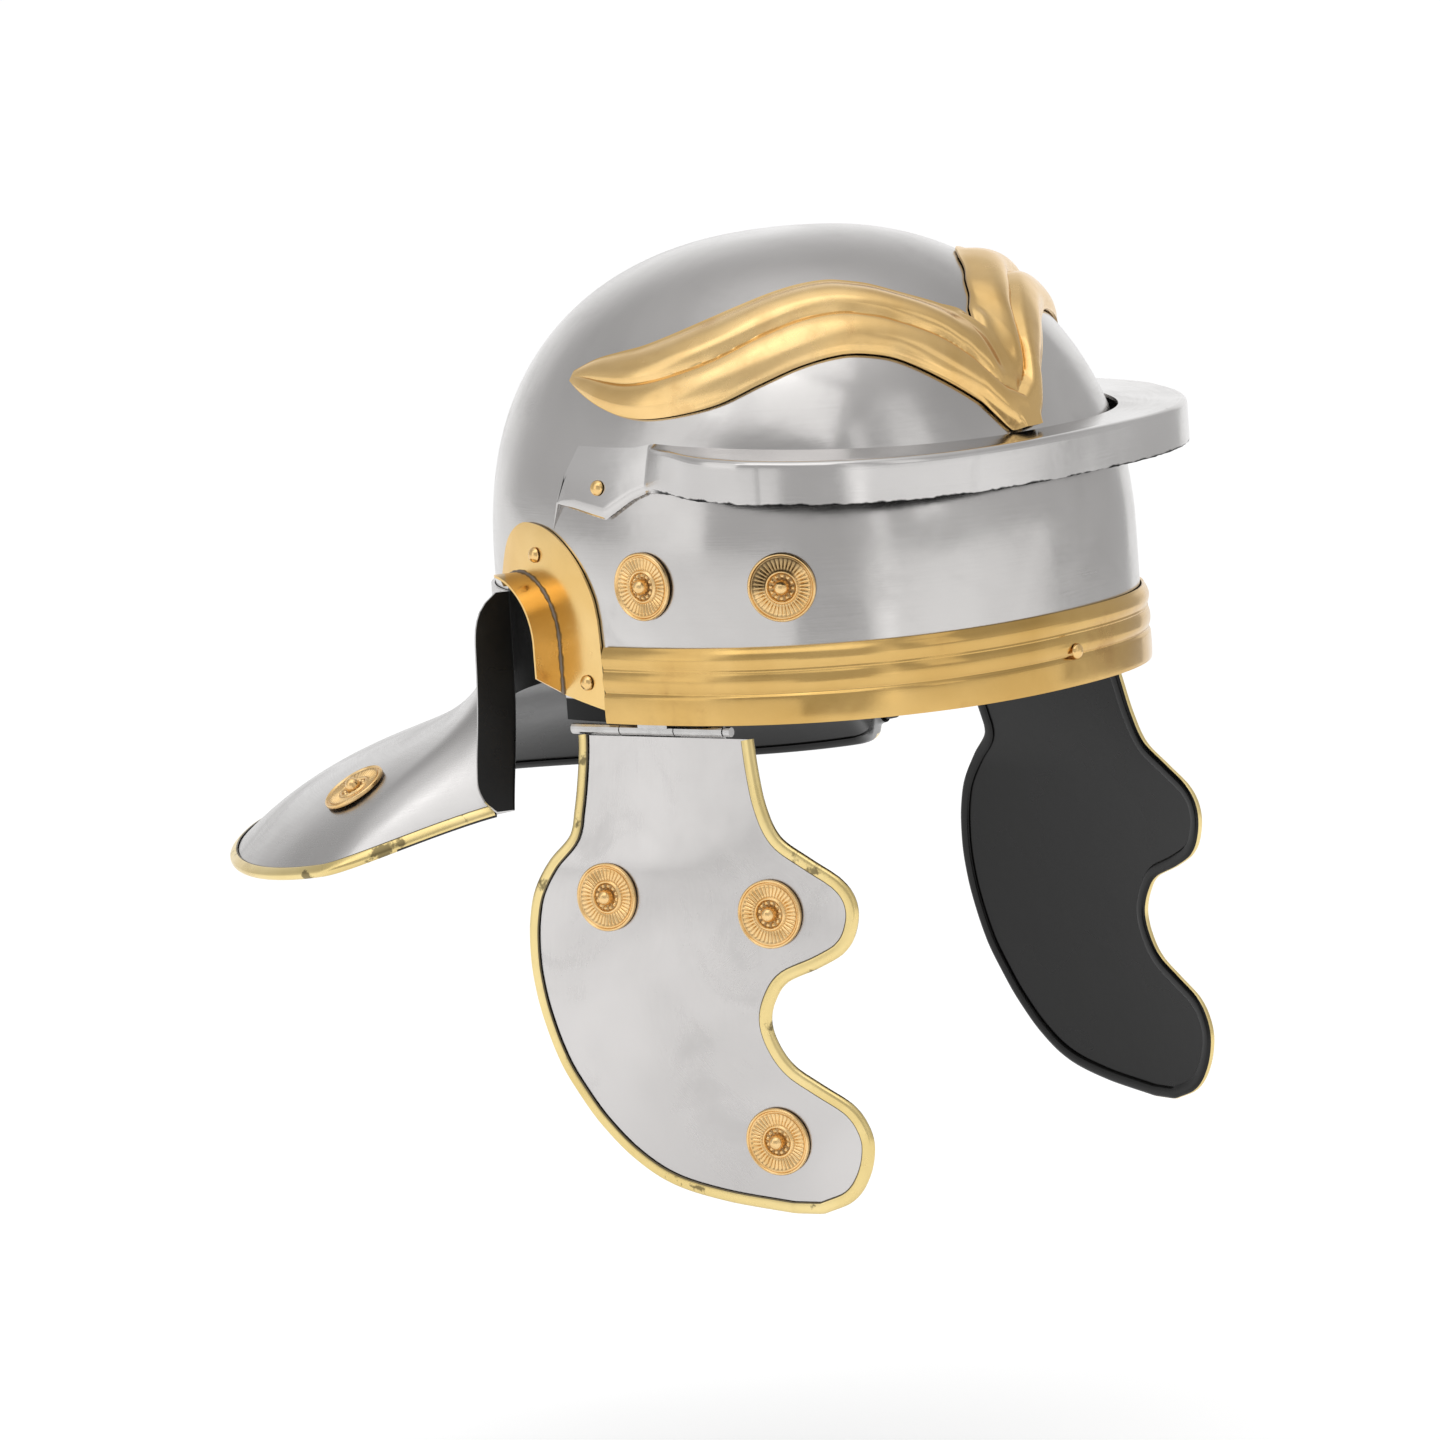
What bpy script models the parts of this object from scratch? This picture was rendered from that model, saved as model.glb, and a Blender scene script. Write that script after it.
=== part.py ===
"""Roman legionary helmet: steel bowl, brow guard and neck guard, brass fittings, two hinged cheek guards.

Metres, +Z up. The wearer faces -Y and the wearer's right is -X. The origin is the middle of the head
opening, in the plane of the bowl's rim.
"""
import bpy
import bmesh
from math import asin, atan2, cos, pi, radians, sin
from mathutils import Matrix, Vector

# Sheet metal and fit
STEEL = 0.0012              # bowl, brow guard, neck guard and cheek guards
BRASS = 0.0008              # eyebrows, band and ear guards
GAP = 0.0004                # kept between pieces that lie on each other

# Bowl
BOWL_HALF_WIDTH = 0.1024
BOWL_FRONT = 0.0990         # from the origin forward to the bowl
BOWL_REAR = 0.1120
BOWL_HEIGHT = 0.1540
BOWL_WALL_HEIGHT = 0.0440   # upright part of the wall
BOWL_SQUARENESS = 2.3       # exponent of the plan outline at the rim, 2 is an ellipse
DOME_FULLNESS_FRONT = 2.1   # exponent of the dome's profile
DOME_FULLNESS_REAR = 2.5

# Ear openings
EAR_MIDDLE = 0.0555         # behind the origin
EAR_HALF_WIDTH = 0.0195
EAR_SPRING = 0.0260         # height where the arch starts
EAR_TOP = 0.0480

# Ear guards
EAR_FLANGE = 0.0110         # stands out from the bowl
EAR_FLANGE_RISE = 0.0064    # the flange's lower corner lies this much higher than its foot
EAR_PLATE_BOTTOM = 0.0040   # of its front corner
EAR_PLATE_SLOPE = 0.0047    # the lower edge rises this much to the opening
EAR_PLATE_WIDTH = 0.0205    # in front of the opening
EAR_PLATE_CREST = 0.0165    # above the opening
EAR_PLATE_SHOULDER = 0.0080    # above the arch's start, where the plate's front edge starts to turn
EAR_PLATE_LEAN = 0.0010        # the front edge leans back this much up to there
EAR_RIVET_RISE = 0.0090        # of the lower rivet over the plate's bottom
EAR_SWEEP = radians(130)    # of the arch that the guard follows

# Brow band
BAND_HEIGHT = 0.0250
BAND_DEPTH = 0.0022         # its face stands out from the bowl
BAND_END_GAP = 0.0010       # to the ear guards

# Brow guard
BROW_SIDE_REACH = 0.0176    # beyond the bowl's side
BROW_FRONT_REACH = 0.0095   # beyond the bowl's front
BROW_HALF_WIDTH = BOWL_HALF_WIDTH + BROW_SIDE_REACH
BROW_FRONT = BOWL_FRONT + BROW_FRONT_REACH
BROW_SQUARENESS = 2.8
BROW_CLEARANCE = 0.0013     # below the eyebrow plate's stem
BROW_SLOPE = 0.070          # fall of the top towards the front
BROW_SKIRT = 0.0135
BROW_SIDE_ANGLE = radians(68)
BROW_LEFT_GAP = 0.0025      # the top stands off the bowl at the left corner
TAB_LENGTH = 0.0400         # along the bowl, from the skirt to the point
TAB_ROOT = -0.0070          # where the skirt leaves the bowl
TAB_HEIGHT = 0.0230
WING_BULGE = 0.0030         # of the skirt's edge between the tab and the side corner

# Eyebrow plate
EYEBROW_SWEEP = radians(109)   # each wing, round the bowl
EYEBROW_TURN = radians(4.5)    # its middle lies this far round to the wearer's right
EYEBROW_TILT = 0.0038          # the left wing lies this much higher
EYEBROW_RELIEF = 0.0042

# Neck guard
NAPE_TOP = 0.0410
NAPE_EDGE = radians(127.5)     # where the nape starts behind the ears, from the front
NAPE_FLANGE = 0.0130
NAPE_DROP = 0.0050             # the nape runs straight down to so far below the rim plane
NAPE_REAR_DROP = 0.0200        # and this much further at the rear
FLARE_DROP = 0.0120            # the flare leaves from so far below the rim plane
FLARE_REAR_RISE = 0.0140       # and this much higher at the rear
RIM_CORNER_REACH = 0.0026      # of the flare's front corners, beyond the bowl's side
RIM_CORNER = (BOWL_HALF_WIDTH + RIM_CORNER_REACH, 0.0580)   # to the side and behind the origin
RIM_CORNER_HEIGHT = -0.0305
RIM_HALF_WIDTH = 0.1460
RIM_WIDEST = 0.1090            # behind the origin
RIM_REAR = 0.2220
RIM_FALL = 0.147               # fall of the rim for each metre back
RIM_CROWN = 0.0188             # the rim is this much higher in the middle
TRIM_METAL = 0.0006
TRIM_COVER = 0.0032            # how far the brass edging reaches over the sheet
NECK_ROSETTE_AROUND = 0.66     # share of the way round from the rear middle
NECK_ROSETTE_DOWN = 0.76       # share of the way down to the rim

# Cheek guards and their hinges
HINGE_MIDDLE = -0.0040         # along Y
HINGE_INSET = 0.0006           # the pin lies this far inside the bowl's side
HINGE_OUT = BOWL_HALF_WIDTH - HINGE_INSET
HINGE_TOE_IN = 0.0485          # sideways shift for each metre back
HINGE_LENGTH = 0.0620          # its three knuckles together
HINGE_START = 0.0280           # from its middle forward to the first knuckle
KNUCKLE_RADIUS = 0.0018
PIN_RADIUS = 0.0008
PIN_HEAD = 0.0025
BORE_RADIUS = 0.0011
LEAF = 0.0008
FIXED_LEAF_WIDTH = 0.0120
FIXED_LEAF_HEIGHT = 0.0095
MOVING_LEAF_DROP = 0.0110
CHEEK_LENGTH = 0.1600          # from the rim plane down
CHEEK_FRONT = 0.0770           # reach in front of the origin
CHEEK_REAR = 0.0415
CHEEK_TWIST = 0.140            # the lower part turns its rear edge out
CHEEK_DISH = 0.0060
CHEEK_DISH_MIDDLE = 0.53       # share of the length where the dish is deepest
CHEEK_DISH_ABOVE = 0.50        # share of the length over which it runs out, above and below
CHEEK_DISH_BELOW = 0.60

# Rosettes and rivets
ROSETTE_RADIUS = 0.0113
ROSETTE_RIM = 0.0013
BOSS_RADIUS = 0.0028
BOSS_HEIGHT = 0.0040
RIVET_RADIUS = 0.0026
RIVET_HEIGHT = 0.0017

# Shares across the brow band, from its lower edge up: height, depth
BAND_PROFILE = (
    (0.00, 1.00), (0.20, 1.02), (0.38, 1.00), (0.46, 0.58), (0.55, 1.05),
    (0.66, 0.66), (0.76, 1.05), (0.88, 0.62), (1.00, 0.50),
)

# Eyebrow wing, from the middle outwards: share of the sweep, height of the upper and lower edge
# as shares of the bowl's height
EYEBROW_EDGES = (
    (0.000, 0.790, 0.558), (0.020, 0.812, 0.558), (0.042, 0.821, 0.562), (0.072, 0.829, 0.598),
    (0.097, 0.838, 0.629), (0.173, 0.861, 0.687), (0.250, 0.883, 0.732), (0.311, 0.893, 0.749),
    (0.374, 0.899, 0.753), (0.458, 0.895, 0.737), (0.537, 0.882, 0.706), (0.614, 0.861, 0.671),
    (0.693, 0.835, 0.652), (0.771, 0.808, 0.644), (0.831, 0.789, 0.651), (0.889, 0.777, 0.669),
    (0.948, 0.763, 0.694), (1.000, 0.739, 0.719),
)
# The brow guard's flat top lies at this height beside the origin
BROW_HEIGHT = EYEBROW_EDGES[0][2] * BOWL_HEIGHT - BROW_CLEARANCE + BROW_SLOPE * BOWL_FRONT

# Shares across the wing from its lower edge: place, relief
EYEBROW_RELIEF_ROWS = (
    (0.00, 0.00), (0.14, 0.62), (0.36, 0.95), (0.50, 0.55), (0.64, 1.00), (0.85, 0.62), (1.00, 0.00),
)

# Outer edge of the ear plate, as shares of the sweep, of the way back and of the rise to its crest
EAR_PLATE_EDGE = (
    (0.000, 0.000, 0.00), (0.125, 0.030, 0.25), (0.250, 0.110, 0.53), (0.375, 0.225, 0.76),
    (0.500, 0.365, 0.93), (0.625, 0.520, 1.01), (0.750, 0.690, 1.00), (0.875, 0.860, 0.80),
    (1.000, 0.985, 0.36),
)
# Width of the ear flange as a share, by the share of the sweep
EAR_FLANGE_WIDTHS = ((0.00, 1.00), (0.60, 1.00), (0.70, 0.94), (0.85, 0.46), (1.00, 0.12))

# Cheek guard edges: depth as a share of its length, reach as a share of its rear or front reach
CHEEK_REAR_EDGE = (
    (0.00, 0.655), (0.11, 0.605), (0.18, 0.585), (0.23, 0.600), (0.28, 0.775), (0.34, 0.925),
    (0.40, 0.990), (0.46, 1.010), (0.52, 1.000), (0.60, 0.940), (0.70, 0.800), (0.77, 0.635),
    (0.83, 0.460), (0.90, 0.180), (0.95, -0.150), (0.98, -0.600), (1.00, -1.150),
)
CHEEK_FRONT_EDGE = (
    (0.00, 0.540), (0.09, 0.575), (0.17, 0.618), (0.23, 0.685), (0.275, 0.820), (0.315, 0.945),
    (0.355, 1.000), (0.405, 1.000), (0.455, 0.945), (0.487, 0.830), (0.515, 0.690), (0.550, 0.625),
    (0.600, 0.590), (0.650, 0.612), (0.700, 0.680), (0.740, 0.800), (0.780, 0.925), (0.825, 0.985),
    (0.870, 0.998), (0.930, 0.960), (0.975, 0.880), (1.00, 0.750),
)

# Brow guard's tab, from its point forwards: share of its length, upper and lower edge as shares of
# its height
TAB_EDGES = (
    (0.00, 0.74, 0.79), (0.24, 0.00, 0.87), (0.58, 0.02, 1.00), (0.85, 0.02, 0.72), (1.00, -0.02, 0.62),
)

# Cheek guard rosettes: name, reach as a share of the rear reach, depth as a share of the length
CHEEK_ROSETTES = (("rear", 0.255, 0.350), ("front", -1.175, 0.381), ("low", -1.085, 0.853))
# Bowl rosettes: name, place behind the origin, height
BOWL_ROSETTES = (("rear", -0.0040, 0.0455), ("front", -0.0530, 0.0445))

# Shares of the way from the nape's top to the rim
NECK_ROWS = (0.0, 0.10, 0.25, 0.42, 0.58, 0.72, 0.88, 1.0)
# How much of the nape flange's width stands at each share of the way down
NAPE_FLANGE_ROWS = ((0.0, 0.62), (0.08, 0.95), (0.2, 1.0), (0.8, 1.0), (0.93, 0.78), (1.0, 0.45))

HELMET = "roman_helmet"
SIDES = (("right", -1), ("left", 1))


def clear_scene():
    for item in list(bpy.data.objects):
        bpy.data.objects.remove(item, do_unlink=True)


def new_collection(name):
    group = bpy.data.collections.new(name)
    bpy.context.scene.collection.children.link(group)
    return group


def metal(name, colour, roughness, metallic=1.0):
    material = bpy.data.materials.new(name)
    material.use_nodes = True
    shader = material.node_tree.nodes["Principled BSDF"]
    shader.inputs["Base Color"].default_value = (*colour, 1.0)
    shader.inputs["Roughness"].default_value = roughness
    shader.inputs["Metallic"].default_value = metallic
    material.diffuse_color = (*colour, 1.0)
    return material


def add_object(name, mesh, material, group):
    mesh.materials.append(material)
    mesh.shade_smooth()
    mesh.set_sharp_from_angle(angle=radians(35))
    item = bpy.data.objects.new(name, mesh)
    group.objects.link(item)
    return item


def hide_cutter(item):
    item.hide_render = True
    item.display_type = "WIRE"


def grid_mesh(name, rows):
    """An open sheet of quads through rows of points."""
    mesh = bpy.data.meshes.new(name)
    shape = bmesh.new()
    grid = [[shape.verts.new(point) for point in row] for row in rows]
    for upper, lower in zip(grid, grid[1:]):
        for k in range(len(upper) - 1):
            shape.faces.new((upper[k], upper[k + 1], lower[k + 1], lower[k]))
    shape.to_mesh(mesh)
    shape.free()
    return mesh


def add_sheet(name, rows, thickness, material, group):
    """Sheet metal whose middle surface runs through the rows."""
    item = add_object(name, grid_mesh(name, rows), material, group)
    wall = item.modifiers.new("wall", "SOLIDIFY")
    wall.thickness = thickness
    wall.offset = 0.0
    wall.use_even_offset = True
    return item


def loft_mesh(name, sections):
    """A closed body through sections that have the same number of points."""
    mesh = bpy.data.meshes.new(name)
    shape = bmesh.new()
    rings = [[shape.verts.new(point) for point in section] for section in sections]
    count = len(rings[0])
    for near, far in zip(rings, rings[1:]):
        for k in range(count):
            shape.faces.new((near[k], near[(k + 1) % count], far[(k + 1) % count], far[k]))
    shape.faces.new(rings[0][::-1])
    shape.faces.new(rings[-1])
    bmesh.ops.recalc_face_normals(shape, faces=shape.faces)
    shape.to_mesh(mesh)
    shape.free()
    return mesh


def smooth_read(table, at, column):
    """Read a column of a table at a share, on a smooth curve through its rows."""
    rows = len(table)
    k = 0
    while k < rows - 2 and at > table[k + 1][0]:
        k += 1
    x0, x1 = table[k][0], table[k + 1][0]
    y0, y1 = table[k][column], table[k + 1][column]
    rise = (y1 - y0) / (x1 - x0)
    before, after = rise, rise
    if k > 0:
        before = (y1 - table[k - 1][column]) / (x1 - table[k - 1][0])
    if k < rows - 2:
        after = (table[k + 2][column] - y0) / (table[k + 2][0] - x0)
    t = (at - x0) / (x1 - x0)
    width = x1 - x0
    return ((2 * t**3 - 3 * t**2 + 1) * y0 + (t**3 - 2 * t**2 + t) * width * before
            + (3 * t**2 - 2 * t**3) * y1 + (t**3 - t**2) * width * after)


def ease(t):
    t = min(1.0, max(0.0, t))
    return t * t * (3 - 2 * t)


def surface_normal(surface, a, b, step_a, step_b, away_from):
    """Unit normal of a surface at two parameters, turned away from a point."""
    along = surface(a + step_a, b) - surface(a - step_a, b)
    across = surface(a, b + step_b) - surface(a, b - step_b)
    normal = along.cross(across).normalized()
    if normal.dot(surface(a, b) - away_from) < 0:
        normal.negate()
    return normal


def bowl_share(angle, height):
    """How much of the rim's plan outline is left at a height."""
    t = max(0.0, (height - BOWL_WALL_HEIGHT) / (BOWL_HEIGHT - BOWL_WALL_HEIGHT))
    front = (1 + cos(angle)) / 2
    fullness = DOME_FULLNESS_REAR + (DOME_FULLNESS_FRONT - DOME_FULLNESS_REAR) * front
    return max(1e-6, 1 - min(1.0, t) ** fullness) ** (1 / fullness)


def bowl_surface(angle, height):
    """Point of the bowl's outer face. The angle is 0 at the front and grows to the wearer's left."""
    share = bowl_share(angle, height)
    power = 2 + (BOWL_SQUARENESS - 2) * share
    length = BOWL_FRONT if cos(angle) > 0 else BOWL_REAR
    reach = share / ((abs(sin(angle)) / BOWL_HALF_WIDTH) ** power
                     + (abs(cos(angle)) / length) ** power) ** (1 / power)
    return Vector((reach * sin(angle), -reach * cos(angle), height))


def bowl_normal(angle, height):
    return surface_normal(bowl_surface, angle, height, 1e-3, 1e-4, Vector((0, 0, 0)))


def bowl_point(angle, height, out=0.0):
    """Point that lies a distance outside the bowl's face."""
    return bowl_surface(angle, height) + bowl_normal(angle, height) * out


def side_angle(side, back, height):
    """Angle of the point on one side of the bowl that lies so far behind the origin."""
    low, high = 0.0, pi
    for _ in range(40):
        middle = (low + high) / 2
        if bowl_surface(middle, height).y < back:
            low = middle
        else:
            high = middle
    return side * (low + high) / 2


def side_point(side, back, height, out=0.0):
    return bowl_point(side_angle(side, back, height), height, out)


def ear_arch(turn):
    """Edge of the ear opening: below 0 on its front leg, then an arch of half a turn."""
    if turn < 0:
        leg = EAR_SPRING - EAR_PLATE_BOTTOM - EAR_PLATE_SLOPE
        return EAR_MIDDLE - EAR_HALF_WIDTH, EAR_SPRING + turn * leg
    return (EAR_MIDDLE - EAR_HALF_WIDTH * cos(turn),
            EAR_SPRING + (EAR_TOP - EAR_SPRING) * sin(turn))


def make_bowl(group, cutters, material):
    """A half sphere drawn to the bowl's outline, with its wall inside and an arch cut over each ear."""
    segments, rings, wall_rings = 48, 12, 2
    shape = bmesh.new()
    bmesh.ops.create_uvsphere(shape, u_segments=segments, v_segments=2 * rings, radius=1.0)
    below = [vert for vert in shape.verts if vert.co.z < -1e-4]
    bmesh.ops.delete(shape, geom=below, context="VERTS")
    for vert in shape.verts:
        angle = atan2(vert.co.x, -vert.co.y)
        ring = round(asin(min(1.0, vert.co.z)) / (pi / 2) * rings)
        if ring <= wall_rings:
            height = BOWL_WALL_HEIGHT * ring / wall_rings
        else:
            t = (ring - wall_rings) / (rings - wall_rings)
            height = BOWL_WALL_HEIGHT + (BOWL_HEIGHT - BOWL_WALL_HEIGHT) * sin(t * pi / 2)
        vert.co = bowl_surface(angle, height)
        if ring == rings:
            vert.co = (0, 0, BOWL_HEIGHT)
    mesh = bpy.data.meshes.new("skull")
    shape.to_mesh(mesh)
    shape.free()
    bowl = add_object("skull", mesh, material, group)
    wall = bowl.modifiers.new("wall", "SOLIDIFY")
    wall.thickness = STEEL
    wall.offset = -1.0

    reach = 1.2 * BOWL_HALF_WIDTH
    below_rim = -EAR_HALF_WIDTH / 2
    outline = [(EAR_MIDDLE - EAR_HALF_WIDTH, below_rim)]
    outline += [ear_arch(k * pi / 10) for k in range(11)]
    outline += [(EAR_MIDDLE + EAR_HALF_WIDTH, below_rim)]
    sections = [[(x, back, height) for back, height in outline] for x in (-reach, reach)]
    cutter = add_object("ear_cutter", loft_mesh("ear_cutter", sections), material, cutters)
    hide_cutter(cutter)
    cut = bowl.modifiers.new("ear openings", "BOOLEAN")
    cut.operation = "DIFFERENCE"
    cut.object = cutter
    return bowl


def ear_plate_edge(row):
    """Outer edge of the ear guard's plate, opposite a row of its arch."""
    front = EAR_MIDDLE - EAR_HALF_WIDTH - EAR_PLATE_WIDTH
    start = EAR_SPRING + EAR_PLATE_SHOULDER
    if row < 0:
        height = EAR_PLATE_BOTTOM + (start - EAR_PLATE_BOTTOM) * (1 + row)
        return front + EAR_PLATE_LEAN * max(0.0, 1 + row) ** 2, height
    crest = EAR_TOP + EAR_PLATE_CREST
    front += EAR_PLATE_LEAN
    end = EAR_MIDDLE + 0.85 * EAR_HALF_WIDTH
    turn = row / EAR_SWEEP
    return (front + (end - front) * smooth_read(EAR_PLATE_EDGE, turn, 1),
            start + (crest - start) * smooth_read(EAR_PLATE_EDGE, turn, 2))


def make_ear_guard(name, side, group, material):
    """A plate round the ear opening and a flange that stands out along the opening's edge."""
    out = GAP + BRASS / 2
    rows = []
    turns = [-1.0, -0.5, 0.0] + [EAR_SWEEP * k / 10 for k in range(1, 11)]
    for turn in turns:
        back, height = ear_arch(turn)
        edge_back, edge_height = ear_plate_edge(turn)
        row = []
        for share in (0.0, 0.5, 1.0):
            row.append(side_point(side, edge_back + (back - edge_back) * share,
                                  edge_height + (height - edge_height) * share, out))
        foot = row[-1]
        normal = bowl_normal(side_angle(side, back, height), height)
        lift = EAR_FLANGE_RISE * max(0.0, -turn) ** 2
        width = EAR_FLANGE * smooth_read(EAR_FLANGE_WIDTHS, max(0.0, turn) / EAR_SWEEP, 1)
        row.append(foot + normal * width + Vector((0, 0, lift)))
        rows.append(row)
    return add_sheet(name, rows, BRASS, material, group)


def band_sweep():
    """Angle from the front to the band's ends, which stop short of the ear guards."""
    end = EAR_MIDDLE - EAR_HALF_WIDTH - EAR_PLATE_WIDTH - BAND_END_GAP
    return side_angle(1, end, BAND_HEIGHT / 2)


def make_brow_band(group, material):
    """A ribbed brass strip round the front half of the rim."""
    steps = 28
    sweep = band_sweep()
    rows = []
    for k in range(steps + 1):
        angle = sweep * (2 * k / steps - 1)
        rows.append([bowl_point(angle, share * BAND_HEIGHT, depth * BAND_DEPTH)
                     for share, depth in BAND_PROFILE])
    return add_sheet("brow_band", rows, BRASS, material, group)


def eyebrow_point(sweep_share, across, out):
    """Point of the eyebrow plate, from one wing's tip at -1 to the other's at 1."""
    place = abs(sweep_share)
    top = smooth_read(EYEBROW_EDGES, place, 1) * BOWL_HEIGHT
    foot = smooth_read(EYEBROW_EDGES, place, 2) * BOWL_HEIGHT
    tilt = EYEBROW_TILT * ease(sweep_share * EYEBROW_SWEEP / radians(15))
    return bowl_point(EYEBROW_SWEEP * sweep_share - EYEBROW_TURN, foot + (top - foot) * across + tilt, out)


def make_eyebrow_plate(group, material):
    """Embossed brass eyebrows that meet over the brow in a pointed middle with a stem below."""
    shares = [row[0] for row in EYEBROW_EDGES]
    places = [-share for share in shares[:0:-1]] + shares
    rows = []
    for place in places:
        tip = 1 - abs(place) ** 6
        rows.append([eyebrow_point(place, across, GAP + BRASS / 2 + EYEBROW_RELIEF * relief * tip)
                     for across, relief in EYEBROW_RELIEF_ROWS])
    return add_sheet("eyebrow_plate", rows, BRASS, material, group)


def brow_outline(angle):
    reach = 1 / ((abs(sin(angle)) / BROW_HALF_WIDTH) ** BROW_SQUARENESS
                 + (abs(cos(angle)) / BROW_FRONT) ** BROW_SQUARENESS) ** (1 / BROW_SQUARENESS)
    return Vector((reach * sin(angle), -reach * cos(angle), 0))


def brow_level(back):
    return BROW_HEIGHT + BROW_SLOPE * back


def brow_row(side, corner, angle):
    """Inner edge of the top, its outer corner, the skirt's middle and the skirt's lower edge."""
    top = brow_level(corner.y)
    inner_height = brow_level(bowl_surface(angle, top).y)
    stand_off = GAP + STEEL / 2
    if side > 0:
        stand_off += BROW_LEFT_GAP * sin(min(1.0, abs(angle) / BROW_SIDE_ANGLE) * pi) ** 2
    inner = bowl_surface(angle, inner_height)
    away = Vector((inner.x, inner.y, 0)).normalized()
    return [inner + away * stand_off] + [Vector((corner.x, corner.y, top - drop * BROW_SKIRT))
                                         for drop in (0.0, 0.5, 1.0)]


def brow_tab_rows(side):
    """Rows on the bowl, from the tab's point to where the skirt leaves the bowl."""
    out = GAP + STEEL / 2
    point = TAB_ROOT + TAB_LENGTH
    top = brow_level(TAB_ROOT) - STEEL / 2
    rows = []
    for along, upper, lower in TAB_EDGES:
        back = point - along * TAB_LENGTH
        rows.append([side_point(side, back, top - (upper + (lower - upper) * share) * TAB_HEIGHT, out)
                     for share in (0.0, 0.12, 0.55, 1.0)])
    return rows


def make_brow_guard(group, material):
    """A flat ledge with a turned-down skirt across the brow, ending in a pointed tab on each side."""
    steps = 16
    rows = brow_tab_rows(-1)
    half = []
    side_corner = brow_outline(BROW_SIDE_ANGLE)
    root = side_point(1, TAB_ROOT, brow_level(TAB_ROOT), GAP + STEEL)
    for share in (0.40, 0.78):
        bulge = WING_BULGE * sin(share * pi)
        corner = root.lerp(side_corner, share) + Vector((bulge, 0, 0))
        half.append((share, corner))
    for side, order in ((-1, half), (1, half[::-1])):
        wing = []
        for share, corner in order:
            placed = Vector((side * corner.x, corner.y, 0))
            angle = side * (BROW_SIDE_ANGLE + (1 - share) * radians(20))
            wing.append(brow_row(side, placed, angle))
        if side < 0:
            rows += wing
            for k in range(steps + 1):
                angle = BROW_SIDE_ANGLE * (2 * k / steps - 1)
                rows.append(brow_row(1 if angle > 0 else -1, brow_outline(angle), angle))
        else:
            rows += wing
    rows += brow_tab_rows(1)[::-1]
    return add_sheet("brow_guard", rows, STEEL, material, group)


def rim_point(share):
    """Neck guard's rim, from the front corner at 0 to the rear middle at 1, on the left side."""
    front_part = 0.24
    corner_out, corner_back = RIM_CORNER
    if share < front_part:
        t = share / front_part
        x = corner_out + (RIM_HALF_WIDTH - corner_out) * ease(t)
        y = corner_back + (RIM_WIDEST - corner_back) * t
    else:
        turn = (share - front_part) / (1 - front_part) * pi / 2
        x = RIM_HALF_WIDTH * cos(turn)
        y = RIM_WIDEST + (RIM_REAR - RIM_WIDEST) * sin(turn)
    crown = (corner_out / RIM_HALF_WIDTH) ** 2 - (x / RIM_HALF_WIDTH) ** 2
    return Vector((x, y, RIM_CORNER_HEIGHT - RIM_FALL * (y - corner_back) + RIM_CROWN * crown))


def neck_surface(around, down):
    """Neck guard's middle surface: around runs from -1 at the right ear to 1 at the left one."""
    share = 1 - abs(around)
    side = 1 if around > 0 else -1
    angle = NAPE_EDGE + (pi - NAPE_EDGE) * share
    top = bowl_point(angle, NAPE_TOP, GAP + STEEL / 2)
    rim = rim_point(share)
    bend = ease(share / 0.45)
    below = Vector((top.x, top.y, -NAPE_DROP - NAPE_REAR_DROP * bend))
    flare = top.lerp(rim, 0.55 - 0.06 * bend)
    flare.z = FLARE_REAR_RISE * bend - FLARE_DROP
    t = down
    point = ((1 - t) ** 3 * top + 3 * t * (1 - t) ** 2 * below + 3 * t**2 * (1 - t) * flare + t**3 * rim)
    return Vector((side * point.x, point.y, point.z))


def neck_normal(around, down):
    below = Vector((0, EAR_MIDDLE, -2 * BOWL_HEIGHT))
    return surface_normal(neck_surface, around, down, -1e-3, 1e-3, below)


def neck_places():
    """Places of the neck guard's rows, close together beside the two flanges."""
    half = 17
    near_end = 0.97
    places = [near_end * (k / half + sin(k / half * pi / 2)) / 2 for k in range(-half, half + 1)]
    return [-1.0] + places + [1.0]


def nape_flange_row(side):
    """Outer edge of the flange that the nape turns out behind the ear."""
    outward = bowl_normal(side * NAPE_EDGE, 0.0)
    return [neck_surface(side, down) + outward * NAPE_FLANGE * smooth_read(NAPE_FLANGE_ROWS, down, 1)
            for down in NECK_ROWS]


def make_neck_guard(group, material):
    """The nape, lapped over the bowl's lower rear edge, and the wide flare below it."""
    rows = [nape_flange_row(-1)]
    rows += [[neck_surface(around, down) for down in NECK_ROWS] for around in neck_places()]
    rows.append(nape_flange_row(1))
    return add_sheet("neck_guard", rows, STEEL, material, group)


def edging(stations):
    """Sections of a folded brass strip round a sheet's edge, from the edge's point, its outward
    direction in the sheet, and the sheet's normal."""
    inner = STEEL / 2 + GAP
    outer = inner + TRIM_METAL
    fold = GAP + TRIM_METAL
    shape = ((-TRIM_COVER, outer), (fold, outer), (fold, -outer), (-TRIM_COVER, -outer),
             (-TRIM_COVER, -inner), (GAP, -inner), (GAP, inner), (-TRIM_COVER, inner))
    return [[point + away * a + normal * b for a, b in shape] for point, away, normal in stations]


def edge_stations(points, inside):
    """Frames along an edge. Inside gives, for each point, a place in the sheet beside it."""
    stations = []
    last = len(points) - 1
    for k, point in enumerate(points):
        along = (points[min(last, k + 1)] - points[max(0, k - 1)]).normalized()
        normal = along.cross(point - inside[k]).normalized()
        stations.append((point, normal.cross(along), normal))
    return stations


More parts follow.
